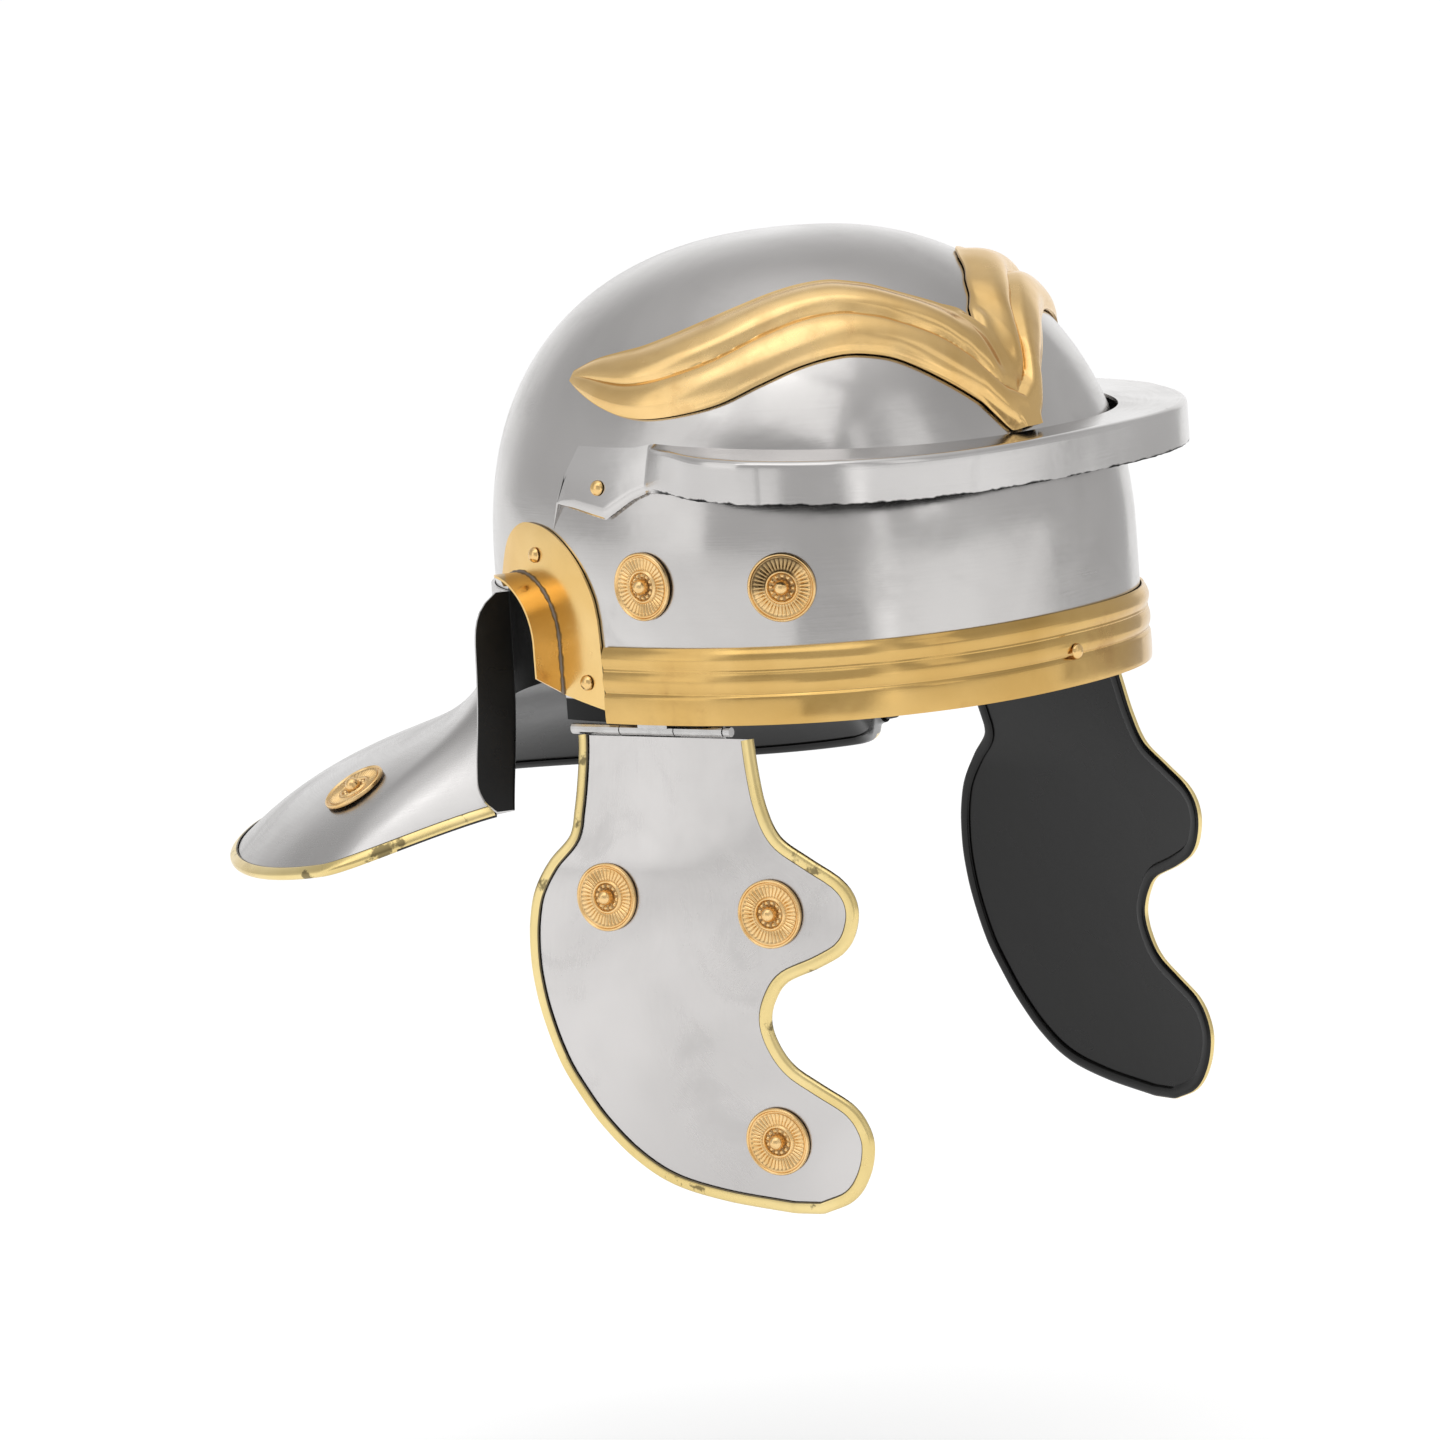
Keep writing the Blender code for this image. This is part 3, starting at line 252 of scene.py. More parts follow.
def bowl_share(angle, height):
    t = max(0.0, (height - BOWL_WALL_HEIGHT) / (BOWL_HEIGHT - BOWL_WALL_HEIGHT))
    front = (1 + cos(angle)) / 2
    fullness = DOME_FULLNESS_REAR + (DOME_FULLNESS_FRONT - DOME_FULLNESS_REAR) * front
    return max(1e-6, 1 - min(1.0, t) ** fullness) ** (1 / fullness)


def bowl_surface(angle, height):
    """The bowl's outer face."""
    share = bowl_share(angle, height)
    length = BOWL_FRONT if cos(angle) > 0 else BOWL_REAR
    point = oval_point(angle, BOWL_HALF_WIDTH, length, 2 + (BOWL_SQUARENESS - 2) * share, share)
    point.z = height
    return point


def bowl_normal(angle, height):
    return surface_normal(bowl_surface, angle, height, 1e-3, 1e-4, Vector((0, 0, 0)))


def bowl_point(angle, height, out=0.0):
    return bowl_surface(angle, height) + bowl_normal(angle, height) * out


def side_angle(side, back, height):
    """Angle at which the bowl lies so far behind the origin, found by halving."""
    low, high = 0.0, pi
    for _ in range(34):
        middle = (low + high) / 2
        if bowl_surface(middle, height).y < back:
            low = middle
        else:
            high = middle
    return side * (low + high) / 2


def side_point(side, back, height, out=0.0):
    return bowl_point(side_angle(side, back, height), height, out)


def ear_arch(turn):
    if turn < 0:
        leg = EAR_SPRING - EAR_PLATE_BOTTOM - EAR_PLATE_SLOPE
        return EAR_MIDDLE - EAR_HALF_WIDTH, EAR_SPRING + turn * leg
    return (EAR_MIDDLE - EAR_HALF_WIDTH * cos(turn),
            EAR_SPRING + (EAR_TOP - EAR_SPRING) * sin(turn))


def ear_plate_edge(row):
    front = EAR_MIDDLE - EAR_HALF_WIDTH - EAR_PLATE_WIDTH
    start = EAR_SPRING + EAR_PLATE_SHOULDER
    if row < 0:
        height = EAR_PLATE_BOTTOM + (start - EAR_PLATE_BOTTOM) * (1 + row)
        return front + EAR_PLATE_LEAN * max(0.0, 1 + row) ** 2, height
    crest = EAR_TOP + EAR_PLATE_CREST
    front += EAR_PLATE_LEAN
    end = EAR_MIDDLE + 0.85 * EAR_HALF_WIDTH
    turn = row / EAR_SWEEP
    return (front + (end - front) * smooth_read(EAR_PLATE_EDGE, turn, 1),
            start + (crest - start) * smooth_read(EAR_PLATE_EDGE, turn, 2))


def rim_point(share):
    front_part = 0.24
    corner_out, corner_back = RIM_CORNER
    if share < front_part:
        t = share / front_part
        x = corner_out + (RIM_HALF_WIDTH - corner_out) * ease(t)
        y = corner_back + (RIM_WIDEST - corner_back) * t
    else:
        turn = (share - front_part) / (1 - front_part) * pi / 2
        x = RIM_HALF_WIDTH * cos(turn)
        y = RIM_WIDEST + (RIM_REAR - RIM_WIDEST) * sin(turn)
    crown = (corner_out / RIM_HALF_WIDTH) ** 2 - (x / RIM_HALF_WIDTH) ** 2
    return Vector((x, y, RIM_CORNER_HEIGHT - RIM_FALL * (y - corner_back) + RIM_CROWN * crown))


def neck_surface(around, down):
    share = 1 - abs(around)
    side = 1 if around > 0 else -1
    angle = NAPE_EDGE + (pi - NAPE_EDGE) * share
    top = bowl_point(angle, NAPE_TOP, GAP + STEEL / 2)
    rim = rim_point(share)
    bend = ease(share / 0.45)
    below = Vector((top.x, top.y, -NAPE_DROP - NAPE_REAR_DROP * bend))
    flare = top.lerp(rim, 0.55 - 0.06 * bend)
    flare.z = FLARE_REAR_RISE * bend - FLARE_DROP
    t = down
    point = (1 - t) ** 3 * top + 3 * t * (1 - t) ** 2 * below + 3 * t**2 * (1 - t) * flare + t**3 * rim
    return mirrored(point, side)


def neck_normal(around, down):
    return surface_normal(neck_surface, around, down, -1e-3, 1e-3, Vector(NECK_BELOW))


def cheek_surface(back, height):
    x = HINGE_OUT + HINGE_TOE_IN * (back - HINGE_MIDDLE)
    x += CHEEK_TWIST * (back + 0.58 * CHEEK_FRONT) * ease(-height / (0.31 * CHEEK_LENGTH))
    middle = (CHEEK_REAR - CHEEK_FRONT) / 2
    span = (CHEEK_REAR + CHEEK_FRONT) / 2 * 1.3
    above = height / CHEEK_LENGTH + CHEEK_DISH_MIDDLE
    reach = CHEEK_DISH_ABOVE if above > 0 else CHEEK_DISH_BELOW
    upright = max(0.0, 1 - (above / reach) ** 2)
    level = max(0.0, 1 - ((back - middle) / span) ** 2)
    return Vector((x + CHEEK_DISH * upright * level, back, height))


def cheek_point(side, back, height):
    return mirrored(cheek_surface(back, height), side)


def cheek_normal(side, back, height):
    return mirrored(surface_normal(cheek_surface, back, height, 1e-4, 1e-4, Vector((0, 0, height))), side)


def cheek_edges(depth):
    rear = smooth_read(CHEEK_REAR_EDGE, depth, 1) * CHEEK_REAR
    front = -smooth_read(CHEEK_FRONT_EDGE, depth, 1) * CHEEK_FRONT
    return rear, front


# Materials

class Nodes:
    """Short calls for building the node tree of a material or a world."""

    def __init__(self, owner):
        self.owner = owner
        owner.use_nodes = True
        self.tree = owner.node_tree

    def put(self, node, inputs):
        """Give a node its inputs, each a value or another node's output."""
        for key, value in inputs.items():
            socket = node.inputs[key]
            if isinstance(value, bpy.types.NodeSocket):
                self.tree.links.new(value, socket)
            else:
                socket.default_value = (*value, 1.0) if socket.type == "RGBA" else value

    def add(self, kind, inputs, output=0, **settings):
        node = self.tree.nodes.new(kind)
        for key, value in settings.items():
            setattr(node, key, value)
        self.put(node, inputs)
        return node.outputs[output]

    def finish(self, inputs, node="Principled BSDF"):
        self.put(self.tree.nodes[node], inputs)
        return self.owner

    def coords(self, output="Object", scale=(1, 1, 1), shift=(0, 0, 0)):
        place = self.add("ShaderNodeTexCoord", {}, output)
        return self.add("ShaderNodeMapping", {"Scale": scale, "Location": shift, "Vector": place})

    def noise(self, scale, detail=3.0, rough=0.5, distortion=0.0, vector=None):
        return self.add("ShaderNodeTexNoise", {
            "Scale": scale, "Detail": detail, "Roughness": rough, "Distortion": distortion,
            "Vector": self.coords() if vector is None else vector,
        })

    def ramp(self, fac, stops):
        colour = self.add("ShaderNodeValToRGB", {"Fac": fac})
        elements = colour.node.color_ramp.elements
        while len(elements) < len(stops):
            elements.new(0.5)
        for element, (place, value) in zip(elements, stops):
            element.position = place
            element.color = (*value, 1.0)
        return colour

    def spread(self, fac, low, high, out_low=0.0, out_high=1.0):
        """Smooth step from one value to another."""
        return self.add("ShaderNodeMapRange", {
            "Value": fac, "From Min": low, "From Max": high, "To Min": out_low, "To Max": out_high,
        }, interpolation_type="SMOOTHSTEP")

    def maths(self, operation, first, second):
        return self.add("ShaderNodeMath", {0: first, 1: second}, operation=operation)

    def plus(self, first, second, share=1.0):
        """The first value with a share of the second added."""
        if share != 1.0:
            second = self.maths("MULTIPLY", second, share)
        return self.maths("ADD", first, second)

    def mix(self, fac, first, second):
        return self.add("ShaderNodeMix", {0: fac, 6: first, 7: second}, 2, data_type="RGBA")

    def bump(self, height, distance, strength, after=None):
        inputs = {"Height": height, "Distance": distance, "Strength": strength}
        if after is not None:
            inputs["Normal"] = after
        return self.add("ShaderNodeBump", inputs)

    def specks(self, scale, size, keep):
        """Scattered small dots, 1 on a dot."""
        cells = self.add("ShaderNodeTexVoronoi", {"Scale": scale, "Vector": self.coords()})
        dot = self.spread(cells, size * 0.6, size, 1.0, 0.0)
        red = self.add("ShaderNodeSeparateColor", {"Color": cells.node.outputs["Color"]})
        return self.maths("MULTIPLY", dot, self.maths("LESS_THAN", red, keep))


def new_skin(name):
    return Nodes(bpy.data.materials.new(name))


def shaded(tone, share):
    return tuple(share * channel for channel in tone)


def steel_material(name, tone_low, tone_high, rough_low, rough_high, pit_share, paint_and_shade_line=None):
    """Polished sheet steel with clouded tone, faint brushing, shallow hammering and a few pits.

    Below the paint-and-shade line the steel turns black. On the bowl this is painted shade for the dark gap
    under the ear plates; on the brow guard the black of the inside comes round the skirt's ragged lower
    edge.
    The line has a height at the origin, a rise towards the rear, an unevenness and the place behind which it
    ends.
    """
    n = new_skin(name)
    cloud = n.noise(8.0, 3.0, 0.5, 0.8)
    smudge = n.noise(26.0, 5.0, 0.6, 0.5)
    brush = n.noise(1.0, 3.0, 0.6, vector=n.coords("UV", (45.0, 2400.0, 1.0)))
    pits = n.specks(70.0, 0.035, pit_share)
    tone = n.ramp(cloud, ((0.32, tone_low), (0.68, tone_high)))
    tone = n.mix(n.spread(smudge, 0.54, 0.74, 0.0, 0.30), tone, shaded(tone_low, 0.82))
    tone = n.mix(pits, tone, (0.16, 0.11, 0.08))
    steel_shown = 1.0
    if paint_and_shade_line is not None:
        height, rise, uneven, end = paint_and_shade_line
        place = n.add("ShaderNodeSeparateXYZ", {"Vector": n.coords()}).node.outputs
        level = n.plus(n.plus(place["Z"], place["Y"], -rise), n.noise(120.0, 4.0, 0.6), uneven)
        middle = height + uneven / 2
        steel_shown = n.spread(level, middle - 0.0003, middle + 0.0003)
        steel_shown = n.maths("MAXIMUM", steel_shown, n.spread(place["Y"], end - 0.006, end))
        # Black below the line: painted shade on the bowl, chipped black paint on the brow guard's skirt
        tone = n.mix(steel_shown, (0.006, 0.006, 0.006), tone)
        n.finish({"Specular IOR Level": 0.15})
    rough = n.plus(n.spread(smudge, 0.35, 0.72, rough_low, rough_high), n.spread(brush, 0.3, 0.7, 0.0, 0.05))
    normal = n.bump(n.noise(11.0, 2.0, 0.45, 0.3), 0.0030, 0.45)
    normal = n.bump(n.noise(46.0, 3.0, 0.5), 0.00030, 0.4, normal)
    normal = n.bump(brush, 0.00001, 0.5, normal)
    return n.finish({"Base Color": tone, "Metallic": steel_shown, "Roughness": n.plus(rough, pits, 0.4),
                     "Anisotropic": 0.2, "Normal": normal})


def paint_material():
    n = new_skin("black_paint")
    cloud = n.noise(14.0, 4.0, 0.6)
    normal = n.bump(n.noise(30.0, 2.0, 0.5), 0.0005, 0.4)
    normal = n.bump(n.noise(300.0, 2.0, 0.5), 0.00008, 0.4, normal)
    tone = n.ramp(cloud, ((0.3, (0.0045, 0.0045, 0.0045)), (0.7, (0.0090, 0.0087, 0.0083))))
    return n.finish({"Base Color": tone, "Roughness": n.spread(cloud, 0.3, 0.7, 0.20, 0.32),
                     "Specular IOR Level": 0.30, "Normal": normal})


def brass_material(name, light, deep, tarnish, rough_low, rough_high, stain_share, chips=0.0):
    """Polished brass with clouded tone, tarnish stains and dark spots, chips being black paint on it."""
    n = new_skin(name)
    cloud = n.noise(20.0, 4.0, 0.55, 0.6)
    fine = n.noise(110.0, 4.0, 0.6)
    stain = n.noise(26.0, 6.0, 0.7, vector=n.coords(shift=(0.3, 0.1, 0.7)))
    stain = n.spread(stain, 0.54, 0.74, 0.0, stain_share)
    tone = n.mix(stain, n.ramp(cloud, ((0.30, deep), (0.66, light))), tarnish)
    tone = n.mix(n.specks(110.0, 0.06, 0.05), tone, (0.14, 0.07, 0.03))
    rough = n.plus(n.spread(cloud, 0.3, 0.7, rough_low, rough_high), stain, 0.25)
    rough = n.plus(rough, n.spread(fine, 0.4, 0.7, 0.0, 0.05))
    if chips:
        black = n.noise(70.0, 5.0, 0.65, vector=n.coords(shift=(0.9, 0.4, 0.2)))
        black = n.spread(black, 0.60, 0.66, 0.0, chips)
        tone = n.mix(black, tone, (0.025, 0.020, 0.015))
        rough = n.plus(rough, black, 0.15)
    normal = n.bump(fine, 0.00003, 0.5, n.bump(n.noise(24.0, 2.0, 0.5), 0.0011, 0.5))
    return n.finish({"Base Color": tone, "Metallic": 1.0, "Roughness": rough, "Normal": normal})


def rosette_material():
    """Stamped brass, darker in its recesses: residue there together with painted shade. Attributes hold the
    relief and where dark residue sits.
    """
    n = new_skin("rosette_brass")
    relief, soil = (n.add("ShaderNodeAttribute", {}, "Fac", attribute_name=name)
                    for name in ("relief", "soil"))
    cloud = n.noise(160.0, 4.0, 0.6)
    # Darker where the relief is low: residue together with painted shade in the recesses
    grime_and_shade = n.spread(n.noise(80.0, 4.0, 0.6), 0.30, 0.60, 0.45, 1.0)
    grime_and_shade = n.maths("MULTIPLY", n.spread(relief, 0.05, 0.60, 0.80, 0.0), grime_and_shade)
    tone = n.ramp(cloud, ((0.3, (0.74, 0.47, 0.19)), (0.65, (0.90, 0.64, 0.32))))
    tone = n.mix(grime_and_shade, tone, (0.18, 0.085, 0.03))
    tone = n.mix(soil, tone, (0.02, 0.012, 0.008))
    rough = n.plus(n.spread(cloud, 0.3, 0.7, 0.20, 0.32), grime_and_shade, 0.3)
    return n.finish({"Base Color": tone, "Metallic": 1.0, "Roughness": rough,
                     "Normal": n.bump(cloud, 0.00006, 0.4)})


def plain_metal(name, colour, low, high):
    n = new_skin(name)
    cloud = n.noise(140.0, 4.0, 0.6)
    return n.finish({"Base Color": n.ramp(cloud, ((0.3, shaded(colour, 0.7)), (0.7, colour))),
                     "Metallic": 1.0, "Roughness": n.spread(cloud, 0.3, 0.7, low, high),
                     "Normal": n.bump(cloud, 0.00006, 0.5)})


# One steel in four skins: the brow guard's lighter tone is painted light on its top, the neck guard's and
# the cheek guards' darker tones are painted shade, and the bowl's is the base tone
BROW_SKIN = steel_material("brow_steel", (0.55, 0.535, 0.525), (0.70, 0.685, 0.675), 0.13, 0.23, 0.30,
                           (BROW_HEIGHT - BROW_SKIRT + 0.0004, BROW_SLOPE, 0.0030, TAB_ROOT - 0.004))
NECK_SKIN = steel_material("neck_steel", (0.43, 0.418, 0.41), (0.55, 0.537, 0.53), 0.19, 0.30, 0.12)
# The bowl's black below 7.2 mm is painted shade for the dark gap under the ear plates
BOWL_SKIN = steel_material("bowl_steel", (0.50, 0.485, 0.475), (0.64, 0.625, 0.612), 0.13, 0.23, 0.12,
                           (0.0072, 0.0, 0.0, BOWL_REAR + 0.01))
CHEEK_SKIN = steel_material("cheek_steel", (0.48, 0.465, 0.457), (0.62, 0.602, 0.592), 0.16, 0.28, 0.18)
BLACK = paint_material()
BRASS_SKIN = brass_material("brass", (0.88, 0.62, 0.29), (0.74, 0.475, 0.18), (0.50, 0.26, 0.09),
                            0.15, 0.26, 0.35)
# The band's brass is darker than the eyebrow plate's: partly its own more tarnished tone, partly painted
# shade
BAND_SKIN = brass_material("band_brass", (0.68, 0.45, 0.165), (0.55, 0.34, 0.105), (0.38, 0.19, 0.065),
                           0.12, 0.22, 0.45)
TRIM_SKIN = brass_material("trim_brass", (0.84, 0.68, 0.33), (0.68, 0.52, 0.21), (0.36, 0.25, 0.10),
                           0.20, 0.32, 0.35, chips=0.7)
EAR_SKIN = brass_material("ear_brass", (0.87, 0.61, 0.26), (0.75, 0.48, 0.16), (0.60, 0.29, 0.09),
                          0.14, 0.24, 0.40)
ROSETTE_SKIN = rosette_material()
HINGE_SKIN = plain_metal("hinge_steel", (0.62, 0.61, 0.60), 0.22, 0.36)
SOLDER = plain_metal("solder", (0.26, 0.22, 0.19), 0.40, 0.60)
# Skin of the edging lip's edge against the sheet: dirt with painted shade at the joint
GRIME_AND_SHADE = plain_metal("grime_and_shade", (0.17, 0.14, 0.09), 0.35, 0.50)


# Mesh tools

def steps(low, high, count):
    return [low + (high - low) * k / count for k in range(count + 1)]


def running_lengths(lengths):
    return np.append(0.0, np.cumsum(lengths))


def folded(path, radius, arc_steps):
    """Points round the middle corner of a path of three."""
    first, middle, last = path
    reach = min(radius, (middle - first).length * 0.45, (last - middle).length * 0.45)
    start = middle + (first - middle).normalized() * reach
    end = middle + (last - middle).normalized() * reach
    return [start.lerp(middle, t).lerp(middle.lerp(end, t), t) for t in steps(0.0, 1.0, arc_steps)]


def new_mesh(name, points, faces, skins):
    mesh = bpy.data.meshes.new(name)
    mesh.from_pydata(points, [], faces)
    for skin in skins:
        mesh.materials.append(skin)
    return mesh


def new_object(name, data):
    item = bpy.data.objects.new(name, data)
    bpy.context.scene.collection.objects.link(item)
    return item


def set_uvs(mesh, uvs):
    mesh.uv_layers.new(name="UVMap").data.foreach_set("uv", [value for pair in uvs for value in pair])


def finish_mesh(mesh, angle=38):
    mesh.shade_smooth()
    mesh.set_sharp_from_angle(angle=radians(angle))


def ring(count, radius, height):
    turns = [2 * pi * k / count for k in range(count)]
    return [(radius * cos(turn), radius * sin(turn), height) for turn in turns]


def ring_quads(rings, count, first=0):
    """Faces between closed rings of points, from the point of that number on."""
    return [(low + k, low + (k + 1) % count, low + count + (k + 1) % count, low + count + k)
            for low in range(first, first + (rings - 1) * count, count) for k in range(count)]


def grid(name, rows, skins):
    """Open sheet through rows of points, with texture coordinates in metres."""
    count = len(rows[0])
    points = [tuple(point) for row in rows for point in row]
    faces = [(i * count + k, i * count + k + 1, (i + 1) * count + k + 1, (i + 1) * count + k)
             for i in range(len(rows) - 1) for k in range(count - 1)]
    mesh = new_mesh(name, points, faces, skins)
    array = np.array(points).reshape(len(rows), count, 3)
    along, across = (running_lengths(np.linalg.norm(np.diff(array, axis=axis), axis=2).mean(axis=1 - axis))
                     for axis in (0, 1))
    set_uvs(mesh, [(along[loop.vertex_index // count], across[loop.vertex_index % count])
                   for loop in mesh.loops])
    return mesh


def face_outwards(mesh, centre):
    """Turn all faces so that they look away from a point."""
    if sum(face.normal.dot(face.center - centre) * face.area for face in mesh.polygons) < 0:
        mesh.flip_normals()


def place_piece(name, mesh, body, node, matrix=None):
    item = new_object(name, mesh)
    if matrix is not None:
        item.matrix_world = matrix
    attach(item, body)
    if node:
        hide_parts(node)


def sheet_piece(name, rows, thickness, skins, body, node, centre, angle=38):
    """Sheet metal through rows of points: its outside takes the first skin, its inside the last."""
    mesh = grid(name + "_mid", rows, skins)
    face_outwards(mesh, Vector(centre))
    shell_piece(name, mesh, thickness, 0.0, body, node, angle)


def shell_piece(name, mesh, thickness, offset, body, node, angle=38, cutters=()):
    base = new_object(name + "_base", mesh)
    wall = base.modifiers.new("wall", "SOLIDIFY")
    wall.thickness, wall.offset, wall.use_even_offset = thickness, offset, True
    wall.material_offset = len(mesh.materials) - 1
    for cutter in cutters:
        cut = base.modifiers.new("cut", "BOOLEAN")
        cut.operation, cut.object = "DIFFERENCE", cutter
    bpy.context.view_layer.update()
    final = bpy.data.meshes.new_from_object(base.evaluated_get(bpy.context.evaluated_depsgraph_get()))
    final.name = name
    bpy.data.objects.remove(base)
    finish_mesh(final, angle)
    place_piece(name, final, body, node)


def loft(name, sections, skins):
    """Closed solid through sections of points."""
    count = len(sections[0])
    points = [tuple(point) for section in sections for point in section]
    faces = ring_quads(len(sections), count)
    faces.append(tuple(range(count))[::-1])
    faces.append(tuple(range(len(points) - count, len(points))))
    mesh = new_mesh(name, points, faces, skins)
    shape = bmesh.new()
    shape.from_mesh(mesh)
    bmesh.ops.recalc_face_normals(shape, faces=shape.faces)
    shape.to_mesh(mesh)
    shape.free()
    return mesh


# Bowl

def make_skull():
    segments, rings, wall_rings = 224, 60, 12
    heights = steps(0.0, BOWL_WALL_HEIGHT, wall_rings)
    heights += [BOWL_WALL_HEIGHT + (BOWL_HEIGHT - BOWL_WALL_HEIGHT) * sin(k / (rings - wall_rings) * pi / 2)
                for k in range(1, rings - wall_rings)]
    top = len(heights) - 1
    points = [tuple(bowl_surface(2 * pi * k / segments - pi, height))
              for height in heights for k in range(segments)]
    points.append((0.0, 0.0, BOWL_HEIGHT))
    faces = ring_quads(len(heights), segments)
    faces += [(top * segments + k, top * segments + (k + 1) % segments, len(points) - 1)
              for k in range(segments)]
    mesh = new_mesh("skull_mid", points, faces, (BOWL_SKIN, BLACK))
    uvs = [(k + across, i + up) for i in range(top) for k in range(segments)
           for across, up in ((0, 0), (1, 0), (1, 1), (0, 1))]
    uvs += [(k + across, top + up) for k in range(segments) for across, up in ((0, 0), (1, 0), (0.5, 1))]
    set_uvs(mesh, [(across * 0.0029, up * 0.0036) for across, up in uvs])
    face_outwards(mesh, Vector((0, 0, 0.04)))

    reach = BOWL_HALF_WIDTH + 0.02
    outline = [(EAR_MIDDLE - EAR_HALF_WIDTH, -0.01)]
    outline += [ear_arch(turn) for turn in steps(0.0, pi, 36)]
    outline += [(EAR_MIDDLE + EAR_HALF_WIDTH, -0.01)]
    sections = [[Vector((x, back, height)) for back, height in outline] for x in (-reach, reach)]
    cutter = new_object("ear_cutter", loft("ear_cutter", sections, (BLACK,)))
    shell_piece("skull_shell", mesh, STEEL, -1.0, "root", "skull", cutters=(cutter,))
    bpy.data.objects.remove(cutter)


# Neck guard

def neck_flange_row(side, share):
    outward = bowl_normal(side * NAPE_EDGE, 0.0)
    row = []
    for down in steps(0.0, 1.0, 44):
        foot = neck_surface(side, down)
        edge = foot + outward * NAPE_FLANGE * smooth_read(NAPE_FLANGE_ROWS, down, 1)
        if share >= 1.0:
            row.append(edge)
        elif share > 0.0:
            row.append(foot.lerp(edge, share))
        else:
            row.append(neck_surface(side * 0.97, down).lerp(foot, 1.0 + share))
    return row


def neck_fold(side):
    """Rows round the fold between the nape and its flange."""
    near, foot, far = (neck_flange_row(side, share) for share in (-0.35, 0.0, 0.1))
    return list(map(list, zip(*(folded(path, NECK_FOLD, 6) for path in zip(near, foot, far)))))


def make_neck_guard():
    shares = (0.1, 0.2, 0.4, 0.6, 0.8, 1.0)
    rows = [neck_flange_row(-1, share) for share in shares[::-1]] + neck_fold(-1)[::-1]
    rows += [[neck_surface(around, down) for down in steps(0.0, 1.0, 44)]
             for around in steps(-0.972, 0.972, 170)]
    rows += neck_fold(1) + [neck_flange_row(1, share) for share in shares]
    sheet_piece("neck_shell", rows, STEEL, (NECK_SKIN, BLACK), "root", "neck_guard", NECK_BELOW)


def edging_section():
    """Outline of the folded brass strip: reach beyond the sheet's edge, height off its middle."""
    inner = STEEL / 2 + GAP
    outer = inner + TRIM_METAL
    centre = GAP + TRIM_METAL - outer
    lip = ((0.0, inner + 0.0001), (0.0004, outer - 0.00016), (0.0008, outer))
    shape = [(reach - TRIM_COVER, height) for reach, height in lip]
    shape += [(centre + outer * sin(turn), outer * cos(turn)) for turn in steps(0.0, pi, EDGING_ARC)]
    shape += [(reach - TRIM_COVER, -height) for reach, height in lip[::-1]]
    shape += [(centre * 0.5, -inner), (GAP, -inner * 0.6), (GAP, inner * 0.6), (centre * 0.5, inner)]
    return shape


def edging_mesh(name, stations, dark_ends=0):
    """Brass edging through its stations. On so many of them at each end the black reaches higher."""
    shape = edging_section()
    sections = [[point + away * a + normal * b for a, b in shape] for point, away, normal in stations]
    mesh = loft(name, sections, (TRIM_SKIN, BLACK, GRIME_AND_SHADE))
    for k, polygon in enumerate(mesh.polygons):
        station, strip = divmod(k, len(shape))
        near_end = min(station, len(stations) - 2 - station) < dark_ends
        painted_from = EDGING_DARK_FROM if near_end else EDGING_PAINTED_FROM
        if station >= len(stations) - 1 or strip >= painted_from:
            polygon.material_index = 1
        # Strip 0 is the lip's edge against the sheet: dirt with painted shade at the joint
        elif strip == 0:
            polygon.material_index = 2
    finish_mesh(mesh)
    return mesh


def stations_along(points, normals, inside):
    made = []
    for k, point in enumerate(points):
        along = course(points, k)
        normal = (normals[k] - along * normals[k].dot(along)).normalized()
        away = along.cross(normal).normalized()
        if away.dot(inside[k] - point) > 0:
            away.negate()
        made.append((point, away, normal))
    return made


def make_neck_trim():
    places = steps(-0.97, 0.97, 190)
    points, inside = ([neck_surface(around, down) for around in places] for down in (1.0, 0.93))
    normals = [neck_normal(around, 0.985) for around in places]
    mesh = edging_mesh("neck_edging", stations_along(points, normals, inside), dark_ends=11)
    place_piece("neck_edging", mesh, "root", "neck_guard_trim")


# Brow guard

def brow_outline(angle):
    return oval_point(angle, BROW_HALF_WIDTH, BROW_FRONT, BROW_SQUARENESS)


def brow_level(back):
    return BROW_HEIGHT + BROW_SLOPE * back


def brow_row(side, corner, angle):
    top = brow_level(corner.y)
    inner_height = brow_level(bowl_surface(angle, top).y)
    stand_off = GAP + STEEL / 2
    if side > 0:
        stand_off += BROW_LEFT_GAP * sin(min(1.0, abs(angle) / BROW_SIDE_ANGLE) * pi) ** 2
    inner = bowl_surface(angle, inner_height)
    away = Vector((inner.x, inner.y, 0)).normalized()
    first = inner + away * stand_off
    middle = Vector((corner.x, corner.y, top))
    last = Vector((corner.x, corner.y, top - BROW_SKIRT))
    fold = folded((first, middle, last), BROW_FOLD, FOLD_STEPS)
    row = [first.lerp(fold[0], t) for t in steps(0.0, 1.0, TOP_STEPS)][:-1] + fold
    return row + [fold[-1].lerp(last, t) for t in steps(0.0, 1.0, SKIRT_STEPS)][1:]


def brow_tab_row(side, along):
    back = TAB_ROOT + TAB_LENGTH * (1 - along)
    top = brow_level(TAB_ROOT) - STEEL / 2
    upper = straight_read(TAB_EDGES, along, 1)
    lower = straight_read(TAB_EDGES, along, 2)
    shares = steps(0.0, 0.10, TOP_STEPS)[:-1] + steps(0.10, 0.20, FOLD_STEPS)
    shares += steps(0.20, 0.955, SKIRT_STEPS - 3)[1:] + [0.970, 0.985, 1.0]
    row = []
    for share in shares:
        swell = TAB_SWELL * ease(along / 0.15) * ease((1 - share) / 0.045)
        row.append(side_point(side, back, top - (upper + (lower - upper) * share) * TAB_HEIGHT,
                              GAP + STEEL / 2 + swell))
    return row


